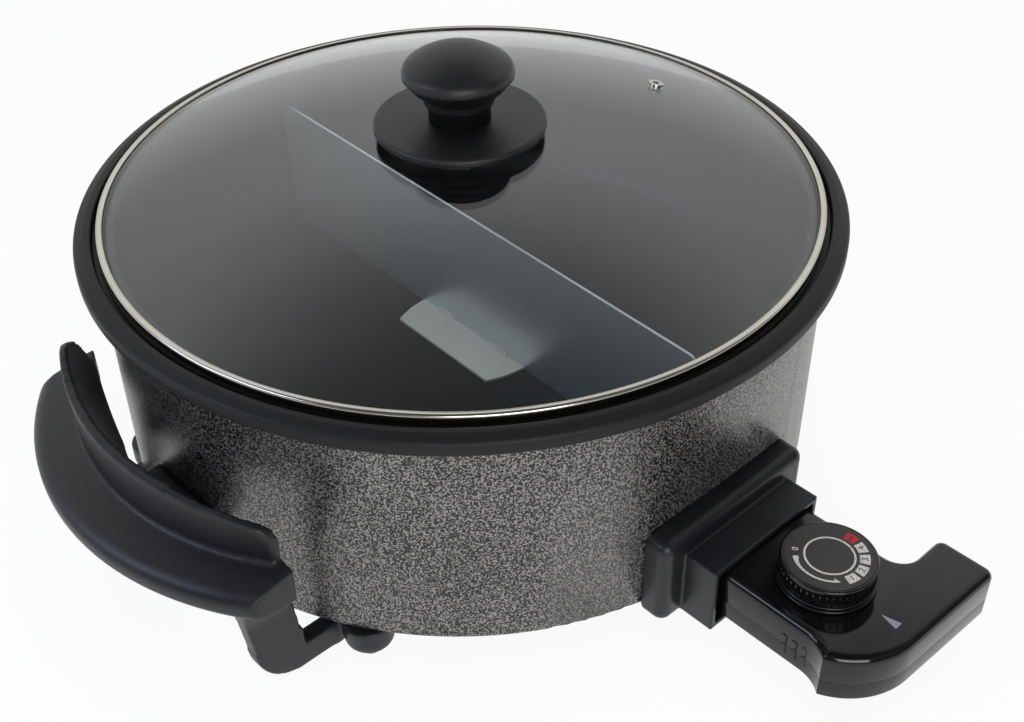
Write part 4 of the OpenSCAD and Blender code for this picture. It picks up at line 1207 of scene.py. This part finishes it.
@dataclass
class Dial(Assembly):
    """The turning dial with ribs, ring, arrow and numbered boxes; sizes in millimetres about its axis."""

    rim_r: float = 19.5
    ribs: int = 46
    ring_r: float = 9.6
    ring_w: float = 0.8
    band_in: float = 11.3
    band_out: float = 15.3
    box_wide: float = 20.5
    box_step: float = 26.0
    first_box: float = -14.5
    pale_boxes: int = 4
    film: float = 0.06
    type_half: float = 0.03
    number_tall: float = 3.7
    number_lift: float = 0.04
    zero_turn: float = -150.0
    zero_tall: float = 3.6
    bore_r: float = 3.2
    foot_round: float = 0.5
    foot_mid: float = 1.1
    groove_in: float = 0.95
    groove_z: Point2 = (1.7, 2.0)
    bead_round: float = 0.4
    bead_in: float = 0.75
    bead_z: Point2 = (2.4, 2.8)
    drum_z: float = 3.3
    drum_in: float = 1.25
    # In from the rim and down from the top: along the drum, the middle of the rim's rounding, and the
    # plate's seat.
    drum_line: tuple[Point2, ...] = ((1.2, 4.2), (0.75, 3.2), (0.6, 1.5))
    rim_round: float = 0.9
    rim_mid: Point2 = (1.5, 1.2)
    seat_in: float = 1.95
    seat_z: Point2 = (0.4, 1.3)
    rib_in: float = 1.32
    # A rib's levels, up from the dial's foot and then down from its top, each with its depth there.
    rib_foot: tuple[Point2, ...] = ((3.2, 0.1), (3.5, 0.66))
    rib_head: tuple[Point2, ...] = ((4.4, 0.66), (2.9, 0.5), (1.9, 0.1))
    # Half a rib's section: how far it stands out as a share of its depth, or sinks in, and half its width.
    rib_half: tuple[Point2, ...] = ((-0.18, 0.72), (0.0, 0.62), (0.6, 0.44), (1.0, 0.2))
    ring_steps: int = 96
    plate_gap: float = 2.05
    plate_under: float = 1.4
    plate_bevel: float = 0.15
    pole_r: float = 0.3
    steps: int = 128
    # Turn in degrees, inner and outer radius along the arrow, from its blunt tail to its tip.
    arrow_line: tuple[Point3, ...] = (
        (-134.0, 12.1, 14.0), (-131.0, 11.9, 14.1), (-126.0, 12.2, 14.1), (-120.0, 12.6, 14.0),
        (-110.0, 12.85, 13.9), (-100.0, 12.9, 13.8), (-90.0, 12.9, 13.7), (-80.0, 12.9, 13.7),
        (-70.0, 12.9, 13.7), (-60.0, 12.9, 13.7), (-50.0, 12.9, 13.7), (-45.5, 12.9, 13.7),
        (-45.0, 11.6, 13.7), (-41.0, 12.5, 13.75), (-36.5, 13.5, 13.8))

    def place(self) -> None:
        """Reads the dial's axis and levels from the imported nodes."""
        low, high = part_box("dial_knob")
        self.axis = ((low.x + high.x) / 2 / MM, (low.y + high.y) / 2 / MM)
        self.foot = low.z / MM
        self.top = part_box("dial_face")[1].z / MM

    def cap_profile(self) -> list[Point2]:
        """Section of the dial: stepped foot, drum and rounded rim round the sunk plate.

        Returns:
            Radius and height of each point.
        """
        r, z, top = self.rim_r, self.foot, self.top
        foot, bead = self.foot_round, self.bead_round
        line = [(self.bore_r, z), (r - foot, z)]
        line += arc((r - foot, z + foot), foot, -90, 0, 4)
        line += arc((r - foot, z + self.foot_mid), foot, 0, 90, 4)
        line += [(r - self.groove_in, z + level) for level in self.groove_z]
        for level, turn in zip(self.bead_z, (-90, 0)):
            line += arc((r - self.bead_in, z + level), bead, turn, turn + 90, 3)
        line += [(r - self.drum_in, z + self.drum_z)]
        line += [(r - out, top - down) for out, down in self.drum_line]
        line += arc((r - self.rim_mid[0], top - self.rim_mid[1]), self.rim_round, 0, 90, 6)
        line += [(r - self.seat_in, top - down) for down in self.seat_z]
        return line + [(self.bore_r, top - self.seat_z[1])]

    def rib(self) -> Piece:
        """One finger rib of the drum, rounded at its top.

        Returns:
            The rib about the origin.
        """
        bm = bmesh.new()
        levels = [(self.foot + up, deep) for up, deep in self.rib_foot]
        levels += [(self.top - down, deep) for down, deep in self.rib_head]
        section = [(k, -y) for k, y in self.rib_half] + list(reversed(self.rib_half))
        root = self.rim_r - self.rib_in
        loft(bm, [[Vector(((root + (d * k if k > 0 else k)) * MM, y * MM, h * MM)) for k, y in section]
                  for h, d in levels])
        return from_bmesh("rib_unit", bm)

    def printed_box(self) -> Piece:
        """One printed box of the setting scale, about the dial axis.

        Returns:
            The box about the origin.
        """
        half = self.box_wide / 2
        bm = bmesh.new()
        near, far = (arc((0.0, 0.0), radius, -half, half, 6) for radius in (self.band_in, self.band_out))
        strip(bm, near, far, self.top - self.film, self.top + self.film)
        return from_bmesh("box_unit", bm)

    def arrow(self) -> Piece:
        """The tapering arrow that shows which way the heat rises.

        Returns:
            The new piece.
        """
        near, far = ([arc((0.0, 0.0), row[side], row[0], row[0], 1)[0] for row in self.arrow_line]
                     for side in (1, 2))
        bm = bmesh.new()
        strip(bm, near, far, self.top - self.film, self.top + self.film)
        made = from_bmesh("dial_arrow", bm)
        made.data.transform(Matrix.Translation((self.axis[0] * MM, self.axis[1] * MM, 0)))
        return made

    def number(self, text: str, turn: float, lift: float, tall: float) -> bpy.types.Mesh:
        """A scale number whose head points to the dial's middle.

        Args:
            text: The number.
            turn: Its place round the dial in degrees.
            lift: Height of its film above the plate in millimetres.
            tall: Size of the type in millimetres.

        Returns:
            The mesh, in place.
        """
        mid = (self.band_in + self.band_out) / 2
        spot = Vector((self.axis[0] + mid * math.cos(math.radians(turn)),
                       self.axis[1] + mid * math.sin(math.radians(turn)), self.top + lift))
        place = Matrix.Translation(spot * MM) @ Matrix.Rotation(math.radians(turn + 90), 4, "Z")
        return lettered(text, tall, self.type_half, place)

    def joined(self, name: str, meshes: list[bpy.types.Mesh]) -> Piece:
        """Puts several meshes into one object.

        Args:
            name: Name of the new object.
            meshes: Meshes, already in place.

        Returns:
            The new object.
        """
        bm = bmesh.new()
        for mesh in meshes:
            bm.from_mesh(mesh)
        return from_bmesh(name, bm)

    def build(self) -> None:
        """Builds the dial, its plate and its print."""
        self.place()
        at = (self.axis[0] * MM, self.axis[1] * MM, 0.0)
        kit = self.finishes
        cap = turned("dial_cap", self.cap_profile(), self.axis, self.steps, hollow=True)
        self.keep(cap, kit.dial, "gloss_black", "dial_knob")
        ribs = Copies(Spread.TURNED).make("dial_ribs", self.rib(), kit.dial,
                                          {"Count": self.ribs, "Start": at, "Turn": 2 * math.pi / self.ribs})
        self.keep(ribs, kit.dial, "gloss_black", "dial_knob", sharp=60.0)
        edge, under, bevel = self.rim_r - self.plate_gap, self.top - self.plate_under, self.plate_bevel
        line = [(self.pole_r, under), (edge, under), (edge, self.top - bevel), (edge - bevel, self.top),
                (self.pole_r, self.top)]
        plate = turned("dial_plate", line, self.axis, self.steps)
        self.keep(plate, kit.face, "dial_print", "dial_face")
        step, first = math.radians(self.box_step), math.radians(self.first_box)
        for name, finish, count, passed in (("scale_boxes", kit.ink, self.pale_boxes, 0),
                                            ("scale_box_hot", kit.ink_red, 1, self.pale_boxes)):
            boxes = Copies(Spread.TURNED).make(
                name, self.printed_box(), finish,
                {"Count": count, "Start": at, "First Turn": first + passed * step, "Turn": step})
            self.keep(boxes, finish, "dial_print")
        low, high = self.top - self.film, self.top + self.film
        inner, outer = self.ring_r - self.ring_w / 2, self.ring_r + self.ring_w / 2
        ring = turned("dial_ring", [(inner, low), (outer, low), (outer, high), (inner, high)], self.axis,
                      self.ring_steps, hollow=True)
        self.keep(ring, kit.ink, "dial_print")
        self.keep(self.arrow(), kit.ink, "dial_print")
        zero = self.joined("scale_zero", [self.number("0", self.zero_turn, self.film, self.zero_tall)])
        self.keep(zero, kit.ink, "dial_print")
        numbers = [self.number(str(i + 1), self.first_box + i * self.box_step, self.film + self.number_lift,
                               self.number_tall) for i in range(self.pale_boxes + 1)]
        self.keep(self.joined("scale_numbers", numbers), kit.ink_dark, "dial_print")
        self.dress(kit.nickel, "dial_spindle")


@dataclass
class Studio:
    """White sweep, soft lamps and the camera at the photograph's place."""

    pan_x: float
    focal_px: float = 1400.0
    image_px: float = 1024.0
    sensor_mm: float = 36.0
    eye_mm: Point3 = (397.38, -338.263, 446.05)
    look: Point3 = (-0.576067, 0.530125, -0.622185)
    up: Point3 = (-0.447071, 0.432891, 0.782772)
    backdrop: Point3 = (-0.736, 0.677, 0.0)
    # Where a ramp of the sweep starts and ends, and its brightness there: overhead, near the floor and to
    # the front.
    sky_top: Point4 = (0.66, 1.0, 1.02, 0.2)
    sky_foot: Point4 = (0.35, 0.55, 0.74, 1.0)
    sky_side: Point4 = (0.0, 0.4, 0.2, 1.0)
    fill: float = 0.3
    floor_half: float = 24.0
    floor_drop_mm: float = 0.2
    floor_glow: float = 0.92

    def camera(self) -> None:
        """Sets up the camera; its axes come from the photograph's perspective."""
        data = bpy.data.cameras.new("studio_camera")
        data.sensor_width = self.sensor_mm
        data.lens = self.focal_px / self.image_px * self.sensor_mm
        data.clip_start = 0.01
        data.clip_end = 50.0
        made = linked("studio_camera", data)
        back = -Vector(self.look).normalized()
        right = Vector(self.up).cross(back).normalized()
        upright = back.cross(right)
        turn = Matrix((right, upright, back)).transposed().to_4x4()
        eye = Vector(self.eye_mm) * MM + Vector((self.pan_x, 0, 0))
        made.matrix_world = Matrix.Translation(eye) @ turn
        bpy.context.scene.camera = made

    def lamp(self, name: str, spot: Point3, aim: Point3, size: Point2,
             power: float, mirrored: bool = True, tint: str = "#ffffff") -> None:
        """Adds a soft box.

        Args:
            name: Name of the lamp.
            spot: Its place in metres.
            aim: Point that it faces.
            size: Width and height in metres.
            power: Power in watts.
            mirrored: Whether gloss shows it.
            tint: Colour of its light.
        """
        data = bpy.data.lights.new(name, "AREA")
        data.shape = "RECTANGLE"
        data.size, data.size_y = size
        data.energy = power
        data.color = linear(tint)[:3]
        made = linked(name, data)
        made.visible_glossy = mirrored
        made.visible_transmission = mirrored
        made.location = spot
        made.rotation_euler = (Vector(aim) - Vector(spot)).to_track_quat("-Z", "Y").to_euler()

    def world(self) -> None:
        """White to the camera; in mirrors a pale sweep behind the pan, darker upward; else an even fill."""
        made = bpy.data.worlds.new("studio_world")
        bpy.context.scene.world = made
        made.use_nodes = True
        tree = made.node_tree
        tree.nodes.clear()
        ray = add(tree, "ShaderNodeLightPath")
        way = add(tree, "ShaderNodeTexCoord").outputs["Generated"]
        height = add(tree, "ShaderNodeSeparateXYZ", {0: way}).outputs["Z"]
        behind = add(tree, "ShaderNodeVectorMath", {0: way, 1: self.backdrop},
                     operation="DOT_PRODUCT").outputs["Value"]
        fade: Any = 1.0
        for pattern, (low, high, first, last), ease in ((height, self.sky_top, "SMOOTHSTEP"),
                                                        (height, self.sky_foot, "LINEAR"),
                                                        (behind, self.sky_side, "SMOOTHSTEP")):
            ramp = add(tree, "ShaderNodeMapRange", {"Value": pattern, "From Min": low, "From Max": high,
                                                    "To Min": first, "To Max": last}, interpolation_type=ease)
            fade = add(tree, "ShaderNodeMath", {0: fade, 1: ramp.outputs[0]}, operation="MULTIPLY").outputs[0]
        mirrored = add(tree, "ShaderNodeMath",
                       {0: ray.outputs["Glossy Depth"], 1: ray.outputs["Is Glossy Ray"]},
                       operation="ADD", use_clamp=True).outputs[0]
        seen = add(tree, "ShaderNodeMix", {0: mirrored, 2: self.fill, 3: fade}).outputs[0]
        bounced = add(tree, "ShaderNodeMath",
                      {0: ray.outputs["Glossy Depth"], 1: ray.outputs["Diffuse Depth"]},
                      operation="ADD", use_clamp=True).outputs[0]
        through = add(tree, "ShaderNodeMath", {0: ray.outputs["Is Transmission Ray"], 1: bounced},
                      operation="SUBTRACT", use_clamp=True).outputs[0]
        clear = add(tree, "ShaderNodeMath", {0: ray.outputs["Is Camera Ray"], 1: through},
                    operation="MAXIMUM").outputs[0]
        power = add(tree, "ShaderNodeMix", {0: clear, 2: seen, 3: 1.0}).outputs[0]
        sky = add(tree, "ShaderNodeBackground", {"Color": (1.0, 1.0, 1.0, 1.0), "Strength": power}).outputs[0]
        add(tree, "ShaderNodeOutputWorld", {"Surface": sky})

    def floor(self) -> None:
        """Adds a pale floor that keeps a soft shadow and is clear from below."""
        bm = bmesh.new()
        bmesh.ops.create_grid(bm, x_segments=1, y_segments=1, size=self.floor_half)
        made = from_bmesh("studio_floor", bm)
        made.location.z = -self.floor_drop_mm * MM
        paint = bpy.data.materials.new("studio_floor_paint")
        paint.use_nodes = True
        tree = paint.node_tree
        tree.nodes.clear()
        ray = add(tree, "ShaderNodeLightPath")
        mirrored = add(tree, "ShaderNodeMath",
                       {0: ray.outputs["Is Camera Ray"], 1: ray.outputs["Is Glossy Ray"]},
                       operation="MAXIMUM").outputs[0]
        seen = add(tree, "ShaderNodeMath", {0: mirrored, 1: ray.outputs["Is Transmission Ray"]},
                   operation="MAXIMUM").outputs[0]
        share = add(tree, "ShaderNodeMath", {0: seen, 1: self.floor_glow}, operation="MULTIPLY").outputs[0]
        matte = add(tree, "ShaderNodeBsdfDiffuse", {"Color": linear("#f4f4f4")}).outputs[0]
        glow = add(tree, "ShaderNodeEmission", {"Color": (1.0, 1.0, 1.0, 1.0), "Strength": 1.0}).outputs[0]
        mix = add(tree, "ShaderNodeMixShader", {0: share, 1: matte, 2: glow}).outputs[0]
        below = add(tree, "ShaderNodeNewGeometry").outputs["Backfacing"]
        clear = add(tree, "ShaderNodeBsdfTransparent").outputs[0]
        floor = add(tree, "ShaderNodeMixShader", {0: below, 1: mix, 2: clear}).outputs[0]
        add(tree, "ShaderNodeOutputMaterial", {"Surface": floor})
        made.data.materials.append(paint)

    def build(self) -> None:
        """Builds the whole studio."""
        bpy.context.scene.view_settings.view_transform = "Standard"
        self.camera()
        self.world()
        self.floor()
        self.lamp("overhead_box", (0.2, -0.1, 1.6), (0.0, 0.0, 0.1), (1.2, 1.0), 10.0, mirrored=False)
        self.lamp("front_box", (1.3, -0.8, 0.7), (0.0, 0.0, 0.06), (0.9, 0.7), 11.0)
        self.lamp("edge_box", (-0.34, -1.14, 0.9), (0.1, 0.0, 0.05), (0.6, 0.35), 3.2, tint="#d6e2ff")
        self.lamp("left_box", (-0.75, -1.15, 0.62), (0.1, 0.0, 0.05), (0.5, 0.4), 2.6, tint="#cfdcff")


def main() -> None:
    """Builds every sub-assembly in order, then the studio."""
    logging.basicConfig(level=logging.INFO, format="%(name)s %(message)s")
    finishes = Finishes()
    low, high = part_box("inner_pan")
    pan_x = (low.x + high.x) / 2
    PanBase(finishes, Body.BASE, pan_x / MM).build()
    GlassLid(finishes, Body.LID, pan_x / MM).build()
    Divider(finishes, Body.DIVIDER).build()
    Thermostat(finishes, Body.THERMOSTAT).build()
    Dial(finishes, Body.DIAL).build()
    Studio(pan_x).build()


if __name__ == "__main__":
    main()
